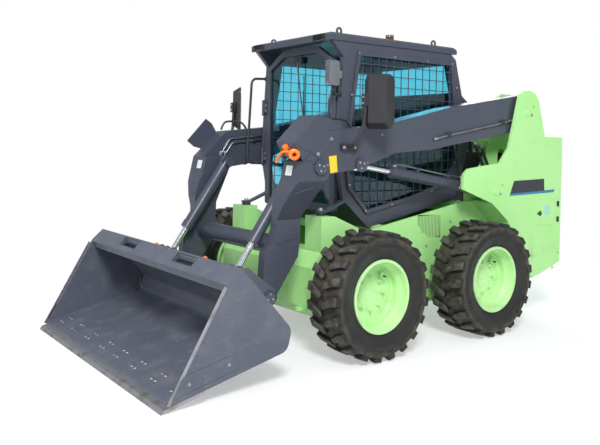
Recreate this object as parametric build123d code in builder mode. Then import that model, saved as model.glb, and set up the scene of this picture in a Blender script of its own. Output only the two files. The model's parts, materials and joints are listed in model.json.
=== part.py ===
"""Skid steer loader: a rigid-frame wheeled loader with a radial lift boom and a bucket.

Millimetres.  X runs forward, Y to the machine's left, Z up.  The origin is on the ground at the
middle of the overall length.  Side-view outlines are written as (station, height): the station is
measured forward from the rear axle, the height from the ground.
"""
from build123d import *
from math import cos, hypot, radians, sin, sqrt
import os

os.makedirs("parts", exist_ok=True)

# ----------------------------------------------------------------------------------------------
# Driving dimensions
# ----------------------------------------------------------------------------------------------
WHEELBASE = 1047.0
TYRE_RADIUS = 386.0            # over the lugs
TYRE_WIDTH = 264.0
AXLE_Z = TYRE_RADIUS
RIM_RADIUS = 221.0             # over the rim's flange
LUGS_PER_SIDE = 21
LUG_DEPTH = 26.0

REAR_OVERHANG = 1020.0         # rear axle to the rear edge of the towers
BUCKET_TIP = 2505.0            # station of the cutting edge
REAR_AXLE_X = (REAR_OVERHANG - BUCKET_TIP) / 2

RUN_GAP = 0.3                  # radial gap between a pin and what turns on it
SEAT_GAP = 0.3                 # gap between curved or soft faces that rest on each other
SIDE_GAP = 3.0                 # gap beside an eye or a boss that turns between plates
SWING_GAP = 6.0                # gap around a panel that swings

# Widths build outwards from the cab: cab, knees, tower plates, arms, wheels, bucket.
CAB_HALF = 430.0
CAB_WALL = 36.0
KNEE_IN = CAB_HALF + 30.0          # inner face of the boom's knees and legs
LEG_OUT = KNEE_IN + 60.0           # outer face of a leg's lower half
TOWER_IN = CAB_HALF + 45.0         # inner face of the towers
TOWER_PLATE = 20.0
ARM_IN = TOWER_IN + TOWER_PLATE + 10.0
ARM_OUT = ARM_IN + 140.0
TOWER_OUT = ARM_OUT + 25.0 + TOWER_PLATE
WHEEL_Y = TOWER_OUT + 68.0         # centre plane of the tyres
TUB_WALL = 14.0
TUB_HALF = TOWER_IN + TOWER_PLATE + TUB_WALL      # the towers' inner plates lap inside the tub
TUB_FLOOR_Z = 200.0
BUCKET_HALF = WHEEL_Y + TYRE_WIDTH / 2 + 15.0

# Boom: the pivots are shared by the towers, the arms, the cylinders and the coupler.
BOOM_PIVOT = (-573.0, 1531.0)
LIFT_BASE = (-227.0, 958.0)
LIFT_EYE = (1034.0, 1157.0)
TILT_BASE = (1355.0, 1143.0)
BUCKET_PIVOT = (1630.0, 386.0)
TILT_EYE = (1785.0, 522.0)
PIN_R = 25.0
CAP_R, CAP_T = 38.0, 10.0
LIFT_Y = (ARM_IN + ARM_OUT) / 2
TILT_Y = KNEE_IN - 55.0


def side(y):
    """Side-view plane at width y: local x is the station, local y the height, normal -Y."""
    return Plane(origin=(REAR_AXLE_X, y, 0), x_dir=(1, 0, 0), z_dir=(0, -1, 0))


def front(station):
    """Front-view plane at a station: local x is the width, local y the height, normal +X."""
    return Plane(origin=(REAR_AXLE_X + station, 0, 0), x_dir=(0, 1, 0), z_dir=(1, 0, 0))


def plan(height):
    """Plan-view plane at a height: local x is the station, local y the width, normal +Z."""
    return Plane(origin=(REAR_AXLE_X, 0, height), x_dir=(1, 0, 0), z_dir=(0, 0, 1))


def across(out, inner, outer):
    """A pair of widths on the left (out = 1) or mirrored to the right (out = -1), lowest first."""
    return sorted((out * inner, out * outer))


def slab(outline, y_low, y_high, mode=Mode.ADD, corner=0.0):
    """Extrude a closed side-view outline between two widths, its corners rounded if asked."""
    with BuildSketch(side(y_high)) as sketch:
        with BuildLine():
            Polyline(*outline, close=True)
        make_face()
        if corner:
            fillet(sketch.vertices(), corner)
    extrude(sketch.sketch, amount=y_high - y_low, mode=mode)


def disc(centre, radius, y_low, y_high, mode=Mode.ADD):
    """A round boss, pin or bore along Y between two widths."""
    with BuildSketch(side(y_high)) as sketch:
        with Locations(centre):
            Circle(radius)
    extrude(sketch.sketch, amount=y_high - y_low, mode=mode)


def block(x_range, y_range, z_range, mode=Mode.ADD):
    """A rectangular block between stations, widths and heights."""
    with BuildSketch(plan(z_range[0])) as sketch:
        with Locations(((x_range[0] + x_range[1]) / 2, (y_range[0] + y_range[1]) / 2)):
            Rectangle(x_range[1] - x_range[0], y_range[1] - y_range[0])
    extrude(sketch.sketch, amount=z_range[1] - z_range[0], mode=mode)


def upright(station, width, radius, z_range, mode=Mode.ADD):
    """A vertical round pin, knuckle or bore."""
    with BuildSketch(plan(z_range[0])) as sketch:
        with Locations((station, width)):
            Circle(radius)
    extrude(sketch.sketch, amount=z_range[1] - z_range[0], mode=mode)


def front_slab(outline, station, thickness, mode=Mode.ADD, corner=0.0):
    """Extrude a closed front-view outline forward from a station."""
    with BuildSketch(front(station)) as sketch:
        with BuildLine():
            Polyline(*outline, close=True)
        make_face()
        if corner:
            fillet(sketch.vertices(), corner)
    extrude(sketch.sketch, amount=thickness, mode=mode)


def rod_between(start, end, radius, width, mode=Mode.ADD):
    """A round bar in a side-view plane at one width, from one side-view point to another."""
    run = Vector(end[0] - start[0], 0, end[1] - start[1])
    with BuildSketch(Plane(origin=(REAR_AXLE_X + start[0], width, start[1]), z_dir=run)) as sketch:
        Circle(radius)
    extrude(sketch.sketch, amount=run.length, mode=mode)


def tube_path(points, radius, bend):
    """A round tube along points (station, width, height) whose corners have one bend radius."""
    with BuildLine() as line:
        FilletPolyline(*[(REAR_AXLE_X + x, y, z) for x, y, z in points], radius=bend)
    path = line.line
    with BuildSketch(Plane(origin=path @ 0, z_dir=path % 0)) as sketch:
        Circle(radius)
    sweep(sketch.sketch, path=path)


def along(start, end, distance):
    """The side-view point at a distance from start towards end."""
    share = distance / hypot(end[0] - start[0], end[1] - start[1])
    return (start[0] + (end[0] - start[0]) * share, start[1] + (end[1] - start[1]) * share)


def save(part, name):
    """Label a finished piece and write it as its own STEP file."""
    part.part.label = name
    export_step(part.part, f"parts/{name}.step")


# ----------------------------------------------------------------------------------------------
# Wheels: a chunky lugged tyre and a dished rim on each axle end
# ----------------------------------------------------------------------------------------------
CARCASS_R = TYRE_RADIUS - LUG_DEPTH
RIDGE_R, RIDGE = CARCASS_R - 10.0, 6.0      # the ridge where the tread ends, and its breadth
HALF_TYRE = TYRE_WIDTH / 2
BEAD_Y = HALF_TYRE - 35.0             # half-width of the tyre at the rim
BEAD_R = RIM_RADIUS - 6.0
LUG_END, LUG_BEND, LUG_INNER = HALF_TYRE - 2.0, 82.0, 8.0     # a lug's ends and its bend, across the tread
# (around, across) of a lug's corners
lug_outline = [(-46, LUG_END), (14, LUG_END), (24, LUG_BEND), (46, LUG_INNER), (4, LUG_INNER), (-34, LUG_BEND)]
LUG_DROP = LUG_DEPTH + 16.0           # how far a lug reaches down from the tread
LUG_TOP = sqrt(TYRE_RADIUS**2 - 46.0**2)
RIM_EDGE = BEAD_Y + 15.0              # half-width of the rim
RIM_LIP = 16.0
RIM_WELL_R = RIM_RADIUS - 31.0
RIM_SHEET = 8.0
HUB_R, STUB_R = 78.0, 38.0            # hub, and the axle stub that it turns on
HUB_DEPTH = 60.0                      # inner end of the hub, in from the tyre's middle
DISC_OUT, DISC_T, DISC_SKIN = -6.0, 14.0, 6.0   # the flat disc's place, its thickness and its cover over the stub
STUDS, STUD_CIRCLE, STUD_R, STUD_H = 8, 101.0, 11.0, 16.0

seat_r = BEAD_R - SEAT_GAP
inner_r = RIM_WELL_R - RIM_SHEET
bore_r = STUB_R + RUN_GAP
# (radius, width) around the rim, from the bead seat over the outer flange to the disc and back
rim_section = [(seat_r, BEAD_Y + 4), (RIM_RADIUS, BEAD_Y + 4), (RIM_RADIUS, RIM_EDGE),
               (RIM_RADIUS - RIM_LIP, RIM_EDGE), (RIM_WELL_R + 6, BEAD_Y - 25), (inner_r, 44),
               (inner_r, DISC_OUT + 14), (inner_r - 14, DISC_OUT), (0, DISC_OUT), (0, DISC_OUT - DISC_SKIN),
               (bore_r, DISC_OUT - DISC_SKIN), (bore_r, -HUB_DEPTH), (HUB_R, -HUB_DEPTH),
               (HUB_R, DISC_OUT - DISC_T), (inner_r, DISC_OUT - DISC_T), (inner_r, -BEAD_Y + 13),
               (RIM_RADIUS - RIM_LIP, -RIM_EDGE), (RIM_RADIUS, -RIM_EDGE), (RIM_RADIUS, -BEAD_Y - 4),
               (seat_r, -BEAD_Y - 4), (RIM_WELL_R, -BEAD_Y + 21), (RIM_WELL_R, 36), (seat_r, BEAD_Y - 19)]

radial = Plane(origin=(0, 0, 0), x_dir=(0, 0, 1), z_dir=(-1, 0, 0))   # local x radius, local y +Y


def ring(radius, width, start=0.25):
    """A many-sided outline around the axle at one width, with one side under each lug of a row."""
    with BuildSketch(Plane(origin=(0, width, 0), x_dir=(0, 0, 1), z_dir=(0, 1, 0))) as sketch:
        RegularPolygon(radius, LUGS_PER_SIDE, major_radius=False, rotation=(start - 0.5) * 360 / LUGS_PER_SIDE)
    return sketch.sketch


with BuildPart() as tyre:
    for row, start in ((1, 0.25), (-1, 0.75)):
        loft([ring(CARCASS_R, 0, start), ring(RIDGE_R, row * HALF_TYRE, start)], ruled=True)
    for row in (1, -1):
        loft([ring(BEAD_R, row * BEAD_Y), ring(RIDGE_R - RIDGE, row * HALF_TYRE)], ruled=True, mode=Mode.SUBTRACT)
    loft([ring(BEAD_R, -HALF_TYRE), ring(BEAD_R, HALF_TYRE)], ruled=True, mode=Mode.SUBTRACT)
    for row, start in ((1, 0.25), (-1, 0.75)):
        for i in range(LUGS_PER_SIDE):
            turn = radians((i + start) * 360 / LUGS_PER_SIDE)
            outward = Vector(sin(turn), 0, cos(turn))
            around = Vector(cos(turn), 0, -sin(turn))
            with BuildSketch(Plane(origin=outward * LUG_TOP, x_dir=around, z_dir=outward)):
                with BuildLine():
                    Polyline(*[(x, row * y) for x, y in lug_outline], close=True)
                make_face()
            extrude(amount=-LUG_DROP)

with BuildPart() as rim:
    with BuildSketch(radial):
        with BuildLine():
            Polyline(*rim_section, close=True)
        make_face()
    revolve(axis=Axis.Y)
    with BuildSketch(Plane(origin=(0, DISC_OUT - DISC_T / 2, 0), z_dir=(0, 1, 0))):
        with PolarLocations(STUD_CIRCLE, STUDS):
            RegularPolygon(STUD_R, 6)
    extrude(amount=DISC_T / 2 + STUD_H)

# (name, station, side)
WHEELS = [("front_left", WHEELBASE, 1), ("front_right", WHEELBASE, -1),
          ("rear_left", 0.0, 1), ("rear_right", 0.0, -1)]
for name, station, out in WHEELS:
    place = Location((REAR_AXLE_X + station, out * WHEEL_Y, AXLE_Z), (0, 0, 0 if out > 0 else 180))
    with BuildPart() as placed_tyre:
        add(tyre.part.moved(place))
    save(placed_tyre, f"{name}_tyre")
    with BuildPart() as placed_rim:
        add(rim.part.moved(place))
    save(placed_rim, f"{name}_rim")

# ----------------------------------------------------------------------------------------------
# Chassis tub: side plates, belly, front and rear plates, open on top under the cab
# ----------------------------------------------------------------------------------------------
TUB_REAR, TUB_FRONT, POD_FRONT = -930.0, 1300.0, 1225.0
POD_TOP = 830.0
POD_IN = 360.0                        # the tub's front is open between its two corner pods
CAB_REAR_LOW, CAB_MIDDLE_LOW, CAB_FRONT_LOW = (-95.0, 893.0), (763.0, 732.0), (986.0, 923.0)
CAB_BEAMS = (-50.0, 700.0)            # cross beams that the cab stands on
BEAM_HALF, BEAM_DEPTH = 30.0, 70.0
ENGINE_X, ENGINE_HALF, ENGINE_Z = (-820.0, -330.0), 230.0, (470.0, 1060.0)
ENGINE_FOOT = 40.0
ENGINE_BEAMS = (ENGINE_X[0] + 60, ENGINE_X[1] - 60)
RADIATOR_X, RADIATOR_HALF, RADIATOR_Z = (TUB_REAR + TUB_WALL, -866.0), 380.0, (470.0, 1230.0)
VENT_SLOTS, VENT_SLOT, VENT_X, VENT_Z = 7, 11.0, 200.0, (672.0, 788.0)
HOOK_PLACE, HOOK_R, HOOK_BORE, HOOK_Z = (1320.0, 430.0), 32.0, 15.0, (255.0, 269.0)
MOUNT_STATION, MOUNT_Y, MOUNT_R = 1165.0, 435.0, 30.0      # rubber mounts under the cab's front


def pan_z(station):
    """Height of the cab's underside at a station behind its lowest corner."""
    (s0, z0), (s1, z1) = CAB_REAR_LOW, CAB_MIDDLE_LOW
    return z0 + (station - s0) * (z1 - z0) / (s1 - s0)


tub_inside = TUB_HALF - TUB_WALL
tub_outline = [(TUB_REAR, 420), (-600, 285), (-450, TUB_FLOOR_Z), (TUB_FRONT - 70, TUB_FLOOR_Z),
               (TUB_FRONT, 270), (TUB_FRONT, 520), (POD_FRONT, 610), (POD_FRONT, POD_TOP),
               (1120, POD_TOP), (860, 722), (-100, 882), (-300, 882), (-300, 960), (TUB_REAR, 960)]
tub_hollow = [(TUB_REAR + TUB_WALL, 440), (-590, 285 + TUB_WALL), (-440, TUB_FLOOR_Z + TUB_WALL),
              (TUB_FRONT - 76, TUB_FLOOR_Z + TUB_WALL), (TUB_FRONT - TUB_WALL, 280),
              (TUB_FRONT - TUB_WALL, 514), (POD_FRONT - TUB_WALL, 604), (POD_FRONT - TUB_WALL, 1200),
              (TUB_REAR + TUB_WALL, 1200)]
AXLE_TUBE_R, AXLE_FLANGE_R, AXLE_FLANGE_T = 58.0, 88.0, 16.0

with BuildPart() as tub:
    slab(tub_outline, -TUB_HALF, TUB_HALF)
    slab(tub_hollow, -tub_inside, tub_inside, mode=Mode.SUBTRACT)
    for out in (1, -1):
        wall = across(out, tub_inside - 1, TUB_HALF + 1)
        for i in range(VENT_SLOTS):
            station = VENT_X + i * 2 * VENT_SLOT
            block((station, station + VENT_SLOT), wall, VENT_Z, mode=Mode.SUBTRACT)
        # a capped shelf on each corner pod, and the tow eye on the front plate
        slab([(1128, POD_TOP - TUB_WALL), (POD_FRONT - TUB_WALL, POD_TOP - TUB_WALL),
              (POD_FRONT - TUB_WALL, POD_TOP), (1128, POD_TOP)], *across(out, POD_IN, tub_inside))
        block((1120, POD_FRONT), across(out, POD_IN - TUB_WALL, POD_IN), (640, POD_TOP))
        hook, width = HOOK_PLACE[0], out * HOOK_PLACE[1]
        block((TUB_FRONT - TUB_WALL, hook), (width - HOOK_R, width + HOOK_R), HOOK_Z)
        upright(hook, width, HOOK_R, HOOK_Z)
        upright(hook, width, HOOK_BORE, (HOOK_Z[0] - 1, HOOK_Z[1] + 1), mode=Mode.SUBTRACT)
    block((1000, TUB_FRONT), (-POD_IN + TUB_WALL, POD_IN - TUB_WALL), (640, 900), mode=Mode.SUBTRACT)
    for station in CAB_BEAMS:
        low, high = station - BEAM_HALF, station + BEAM_HALF
        slab([(low, pan_z(low)), (high, pan_z(high)), (high, pan_z(high) - BEAM_DEPTH),
              (low, pan_z(low) - BEAM_DEPTH)], -tub_inside, tub_inside)
    for station in ENGINE_BEAMS:
        block((station - BEAM_HALF, station + BEAM_HALF), (-tub_inside, tub_inside),
              (ENGINE_Z[0] - ENGINE_FOOT - BEAM_DEPTH, ENGINE_Z[0] - ENGINE_FOOT))
    block(RADIATOR_X, (-tub_inside, tub_inside), (420, RADIATOR_Z[0]))
save(tub, "chassis_tub")

with BuildPart() as axles:
    for name, station, out in WHEELS:
        hub_in = WHEEL_Y - HUB_DEPTH - SIDE_GAP
        disc((station, AXLE_Z), AXLE_TUBE_R, *across(out, TUB_HALF, hub_in))
        disc((station, AXLE_Z), AXLE_FLANGE_R, *across(out, TUB_HALF, TUB_HALF + AXLE_FLANGE_T))
        disc((station, AXLE_Z), STUB_R, *across(out, hub_in, WHEEL_Y + DISC_OUT - DISC_SKIN - SIDE_GAP))
save(axles, "axle_housings")

# ----------------------------------------------------------------------------------------------
# Towers: two plates on each side that carry the boom pivot and the lift cylinder's base
# ----------------------------------------------------------------------------------------------
REAR_EDGE = -REAR_OVERHANG
TOWER_SHOULDER_Z = 1358.0
PIN_PROUD = 4.0                        # how far a pin stands out of the outer plate
HOSE_HOLE, HOSE_HOLE_R, HOSE_HOLE_H = (-532.0, 1195.0), 42.0, 56.0   # round-ended hole in the inner plate
TOWER_REAR_PLATE = 16.0
REAR_PLATE_X = REAR_EDGE + 30.0        # rear face of the plate between the tower's two plates
BAY_HALF = TOWER_IN - 12.0             # half-width of the hood
HOOD_X, HOOD_Z = (-972.0, -262.0), 1352.0
HOOD_HINGE, HOOD_PIN_R, KNUCKLE_R, KNUCKLE = (-266.0, 1334.0), 8.0, 15.0, 24.0
DOOR_HINGE_X, DOOR_HINGE_Y = REAR_EDGE + 10.0, -(TOWER_IN - 6.0)
HINGE_PIN_R, HINGE_LUG_R, HINGE_LUG = 4.5, 9.0, 20.0
REAR_DOOR_HINGES = ((560.0, 640.0), (1130.0, 1210.0))       # heights of the door's two knuckles
TAIL_LAMP_Z = (1150.0, 1270.0)

tower_arch = [(-180, 880), (-367, 744), (-405, 640), (-450, 520), (-520, 410)]
tower_outer = [(REAR_EDGE, 400), (REAR_EDGE, TOWER_SHOULDER_Z), (-792, TOWER_SHOULDER_Z),
               (-705, 1625), (-660, 1676), (-602, 1695), (-520, 1690), (-472, 1664), (-410, 1439),
               (-358, 1272), (-259, 1164), (80, 1125), (125, 1090), (134, 985), *tower_arch,
               (-611, 292), (-785, 328)]
tower_inner = [(REAR_PLATE_X, 430), (REAR_PLATE_X, 1340), (-770, 1340), (-690, 1620),
               (-640, 1676), (-520, 1676), (-480, 1650), (-420, 1439), (-370, 1272), (-280, 1110),
               (-130, 1040), (-130, 800), (TUB_REAR + 20, 800), (TUB_REAR + 20, 965), (TUB_REAR, 965),
               (TUB_REAR, 430)]
strut_low, strut_high = (-180.0, 830.0), (-39.0, 1272.0)
STRUT_Y, STRUT_R, STRUT_ROD_R = TOWER_IN - 16.0, 9.0, 5.0

for label, out in (("left", 1), ("right", -1)):
    with BuildPart() as tower:
        slab(tower_outer, *across(out, TOWER_OUT - TOWER_PLATE, TOWER_OUT), corner=6.0)
        slab(tower_inner, *across(out, TOWER_IN, TOWER_IN + TOWER_PLATE))
        block((REAR_PLATE_X, REAR_PLATE_X + TOWER_REAR_PLATE),
              across(out, TOWER_IN + TOWER_PLATE, TOWER_OUT - TOWER_PLATE), (965, 1340))
        tub_gap = across(out, TUB_HALF, TOWER_OUT - TOWER_PLATE)
        block((TUB_REAR, TUB_REAR + TOWER_REAR_PLATE), tub_gap, (430, 950))
        slab(tower_arch + [(s - 8, z + 10) for s, z in reversed(tower_arch)], *tub_gap)
        with BuildSketch(side(across(out, TOWER_IN - 1, TOWER_IN + TOWER_PLATE + 1)[1])) as hose_hole:
            with Locations(HOSE_HOLE):
                SlotCenterToCenter(HOSE_HOLE_H, 2 * HOSE_HOLE_R, rotation=90)
        extrude(hose_hole.sketch, amount=TOWER_PLATE + 2, mode=Mode.SUBTRACT)
        for centre in (BOOM_PIVOT, LIFT_BASE):
            disc(centre, PIN_R, *across(out, TOWER_IN, TOWER_OUT + PIN_PROUD))
        disc(HOOD_HINGE, HOOD_PIN_R, *across(out, BAY_HALF - KNUCKLE, TOWER_IN))
        block((HOOD_HINGE[0] - 140, HOOD_HINGE[0] + KNUCKLE_R), across(out, TOWER_IN, TOWER_IN + TOWER_PLATE),
              (HOOD_HINGE[1] - KNUCKLE_R, HOOD_HINGE[1] + KNUCKLE_R))
        if out < 0:
            # lugs and pins of the rear door's hinge
            for low, high in REAR_DOOR_HINGES:
                for z in (low - 2 - HINGE_LUG, high + 2):
                    upright(DOOR_HINGE_X, DOOR_HINGE_Y, HINGE_LUG_R, (z, z + HINGE_LUG))
                    block((DOOR_HINGE_X, REAR_PLATE_X + 10),
                          (DOOR_HINGE_Y - HINGE_LUG_R, DOOR_HINGE_Y - HINGE_LUG_R + 8), (z, z + HINGE_LUG))
                upright(DOOR_HINGE_X, DOOR_HINGE_Y, HINGE_PIN_R, (low - HINGE_LUG, high + HINGE_LUG))
    save(tower, f"{label}_tower")

# ----------------------------------------------------------------------------------------------
# Engine bay: engine, radiator, hinged hood and hinged rear door
# ----------------------------------------------------------------------------------------------
HOOD_SHEET, HOOD_SKIRT = 6.0, 70.0
DOOR_FACE, DOOR_DEPTH, DOOR_SHEET = REAR_EDGE + 14.0, 26.0, 6.0
REAR_DOOR_HALF = TOWER_IN - 20.0
REAR_DOOR_Z = (450.0, 1340.0)
LOUVRES, LOUVRE_PITCH, LOUVRE_GAP = 11, 38.0, 18.0
HOOD_SLOTS, HOOD_SLOT_PITCH, HOOD_SLOT = 11, 34.0, 16.0

with BuildPart() as engine:
    block(ENGINE_X, (-ENGINE_HALF, ENGINE_HALF), ENGINE_Z)
    for station in ENGINE_BEAMS:
        block((station - BEAM_HALF, station + BEAM_HALF), (-ENGINE_HALF - 30, ENGINE_HALF + 30),
              (ENGINE_Z[0] - ENGINE_FOOT, ENGINE_Z[0] + 60))
save(engine, "engine_block")

with BuildPart() as radiator:
    block(RADIATOR_X, (-RADIATOR_HALF, RADIATOR_HALF), RADIATOR_Z)
save(radiator, "radiator")

with BuildPart() as hood:
    block(HOOD_X, (-BAY_HALF, BAY_HALF), (HOOD_Z - HOOD_SKIRT, HOOD_Z))
    block((HOOD_X[0] + HOOD_SHEET, HOOD_X[1] - HOOD_SHEET),
          (-BAY_HALF + HOOD_SHEET, BAY_HALF - HOOD_SHEET),
          (HOOD_Z - HOOD_SKIRT, HOOD_Z - HOOD_SHEET), mode=Mode.SUBTRACT)
    for i in range(HOOD_SLOTS):
        station = HOOD_X[0] + 80 + i * HOOD_SLOT_PITCH
        block((station, station + HOOD_SLOT), (-BAY_HALF + 90, BAY_HALF - 90),
              (HOOD_Z - HOOD_SHEET - 1, HOOD_Z + 1), mode=Mode.SUBTRACT)
    for out in (1, -1):
        knuckle = across(out, BAY_HALF - KNUCKLE, BAY_HALF)
        disc(HOOD_HINGE, KNUCKLE_R, *knuckle)
        disc(HOOD_HINGE, HOOD_PIN_R + RUN_GAP, *across(out, BAY_HALF - KNUCKLE - 1, BAY_HALF + 1),
             mode=Mode.SUBTRACT)
save(hood, "engine_hood")

with BuildPart() as rear_door:
    face, back = DOOR_FACE, DOOR_FACE + DOOR_DEPTH
    block((face, back), (-REAR_DOOR_HALF, REAR_DOOR_HALF), REAR_DOOR_Z)
    block((face + DOOR_SHEET, back + 1), (-REAR_DOOR_HALF + DOOR_SHEET, REAR_DOOR_HALF - DOOR_SHEET),
          (REAR_DOOR_Z[0] + DOOR_SHEET, REAR_DOOR_Z[1] - DOOR_SHEET), mode=Mode.SUBTRACT)
    for i in range(LOUVRES):
        low = REAR_DOOR_Z[1] - 520 + i * LOUVRE_PITCH
        block((face - 1, face + DOOR_SHEET + 1), (-REAR_DOOR_HALF + 110, REAR_DOOR_HALF - 110),
              (low, low + LOUVRE_GAP), mode=Mode.SUBTRACT)
    for low, high in REAR_DOOR_HINGES:
        upright(DOOR_HINGE_X, DOOR_HINGE_Y, HINGE_LUG_R - 1, (low, high))
        block((DOOR_HINGE_X, face + DOOR_SHEET), (DOOR_HINGE_Y, -REAR_DOOR_HALF + 2), (low, high))
        upright(DOOR_HINGE_X, DOOR_HINGE_Y, HINGE_PIN_R + RUN_GAP, (low - 1, high + 1),
                mode=Mode.SUBTRACT)
    block((REAR_EDGE, face), (REAR_DOOR_HALF - 90, REAR_DOOR_HALF - 60), (940, 1060))
save(rear_door, "rear_door")

# ----------------------------------------------------------------------------------------------
# Cab: two window-cut sides, roof, rear wall, floor pan, screens, glass and the front door
# ----------------------------------------------------------------------------------------------
CAB_IN = CAB_HALF - CAB_WALL
ROOF_TOP, ROOF_THICK = 1990.0, 50.0
ROOF_LOW = ROOF_TOP - ROOF_THICK
ROOF_SIDE = CAB_HALF + 8
VISOR_TIP = 1131.0
DOOR_HALF = CAB_IN - SWING_GAP
DOOR_AXIS = (1050.0, -CAB_IN - 2)      # station and width of the front door's hinge
DOOR_HINGES = ((1150.0, 1220.0), (1500.0, 1570.0))
FRONT_POST = ((986.0, 923.0), (1035.0, 1180.0), (1024.0, 1448.0), (1002.0, 1840.0))
cab_rear_edge = [(-20, ROOF_LOW), (-72, 1900), (-146, 1647), (-223, 1595), (-223, 1250), CAB_REAR_LOW]
cab_outline = [*FRONT_POST, (1100, ROOF_LOW), *cab_rear_edge, CAB_MIDDLE_LOW]
side_window = [(874, 1868), (-16, 1866), (-55, 1578), (-110, 1500), (-110, 1250), (20, 1010),
               (385, 919), (785, 841), (940, 1000), (955, 1090), (940, 1450)]


def post_front(z):
    """Station of the front post's front edge at a height."""
    for (s0, z0), (s1, z1) in zip(FRONT_POST, FRONT_POST[1:]):
        if z0 <= z <= z1:
            return s0 + (s1 - s0) * (z - z0) / (z1 - z0)
    return FRONT_POST[-1][0]


with BuildPart() as cab_sides:
    for out in (1, -1):
        slab(cab_outline, *across(out, CAB_IN, CAB_HALF))
        slab(side_window, *across(out, CAB_IN - 1, CAB_HALF + 1), mode=Mode.SUBTRACT)
    for low, high in DOOR_HINGES:
        for z in (low - 2 - HINGE_LUG, high + 2):
            upright(*DOOR_AXIS, HINGE_LUG_R - 1, (z, z + HINGE_LUG))
            block((DOOR_AXIS[0] - 60, DOOR_AXIS[0]), (DOOR_AXIS[1] - HINGE_LUG_R + 1, -CAB_IN),
                  (z, z + HINGE_LUG))
        upright(*DOOR_AXIS, HINGE_PIN_R, (low - HINGE_LUG, high + HINGE_LUG))
save(cab_sides, "cab_sides")

EYE_STATIONS, EYE_Y, EYE_R, EYE_BORE, EYE_T = (987.0, 95.0), 362.0, 24.0, 12.0, 10.0
with BuildPart() as roof:
    slab([(-72, ROOF_LOW), (1100, ROOF_LOW), (VISOR_TIP, ROOF_LOW - 4), (VISOR_TIP, ROOF_TOP - 12),
          (VISOR_TIP - 28, ROOF_TOP), (-45, ROOF_TOP), (-72, ROOF_TOP - 22)], -ROOF_SIDE, ROOF_SIDE)
    top_rails = roof.edges().filter_by(Axis.X).group_by(Axis.Z)[-1]
    chamfer(top_rails, 14)
    for station in EYE_STATIONS:
        for width in (EYE_Y, -EYE_Y):
            plate = (width - EYE_T / 2, width + EYE_T / 2)
            block((station - EYE_R, station + EYE_R), plate, (ROOF_TOP - 5, ROOF_TOP + EYE_R))
            disc((station, ROOF_TOP + EYE_R), EYE_R, *plate)
            disc((station, ROOF_TOP + EYE_R), EYE_BORE, plate[0] - 1, plate[1] + 1, mode=Mode.SUBTRACT)
save(roof, "cab_roof")

REAR_SHEET = 30.0
REAR_LIGHT_Y, REAR_LIGHT_Z = CAB_IN - 60, (1670.0, 1870.0)
with BuildPart() as rear_wall:
    slab(cab_rear_edge + [(s + REAR_SHEET, z) for s, z in reversed(cab_rear_edge)], -CAB_IN, CAB_IN)
    block((-260, 20), (-REAR_LIGHT_Y, REAR_LIGHT_Y), REAR_LIGHT_Z, mode=Mode.SUBTRACT)
save(rear_wall, "cab_rear_wall")

PAN_SHEET = 12.0
pan_edge = [CAB_FRONT_LOW, CAB_MIDDLE_LOW, (-60, pan_z(-60))]
with BuildPart() as floor_pan:
    slab(pan_edge + [(s, z + PAN_SHEET) for s, z in reversed(pan_edge)], -CAB_IN, CAB_IN)
save(floor_pan, "cab_floor")

GLASS = 6.0
with BuildPart() as cab_glass:
    for out in (1, -1):
        slab(side_window, *across(out, CAB_IN + 4, CAB_IN + 4 + GLASS))
    slab([(-80, REAR_LIGHT_Z[1]), (-80 + GLASS, REAR_LIGHT_Z[1]), (-132 + GLASS, REAR_LIGHT_Z[0]),
          (-132, REAR_LIGHT_Z[0])], -REAR_LIGHT_Y, REAR_LIGHT_Y)
save(cab_glass, "cab_glass")

SCREEN_LAP, SCREEN_TUBE, SCREEN_T = 14.0, 24.0, 14.0
MESH_BAR, MESH_BAR_T, MESH_PITCH = 5.0, 4.0, 70.0
MESH_LOW, MESH_HIGH, MESH_REAR, MESH_FRONT = 860.0, 1880.0, -110.0, 960.0

def window_face(y, grow):
    """The side window's outline in a side-view plane, grown or shrunk all round."""
    with BuildSketch(side(y)) as sketch:
        with BuildLine():
            Polyline(*side_window, close=True)
        make_face()
        offset(amount=grow, kind=Kind.INTERSECTION)
    return sketch.sketch


# Square mesh in two layers, upright bars inside level ones, trimmed to the frame tube.
with BuildPart() as mesh:
    for out in (1, -1):
        upright_bars = across(out, CAB_HALF + 3, CAB_HALF + 3 + MESH_BAR_T)
        level_bars = across(out, CAB_HALF + 3 + MESH_BAR_T, CAB_HALF + 3 + 2 * MESH_BAR_T)
        for i in range(int((MESH_FRONT - MESH_REAR) / MESH_PITCH) + 1):
            station = MESH_REAR + MESH_PITCH / 2 + i * MESH_PITCH
            block((station, station + MESH_BAR), upright_bars, (MESH_LOW, MESH_HIGH))
        for i in range(int((MESH_HIGH - MESH_LOW) / MESH_PITCH) + 1):
            z = MESH_LOW + MESH_PITCH / 2 + i * MESH_PITCH
            block((MESH_REAR, MESH_FRONT), level_bars, (z, z + MESH_BAR))
    extrude(window_face(CAB_HALF + SCREEN_T, 0), amount=2 * (CAB_HALF + SCREEN_T), mode=Mode.INTERSECT)

with BuildPart() as screens:
    for out in (1, -1):
        y_high = across(out, CAB_HALF, CAB_HALF + SCREEN_T)[1]
        extrude(window_face(y_high, SCREEN_LAP), amount=SCREEN_T)
        extrude(window_face(y_high, SCREEN_LAP - SCREEN_TUBE), amount=SCREEN_T, mode=Mode.SUBTRACT)
    add(mesh.part)
save(screens, "side_screens")

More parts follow.
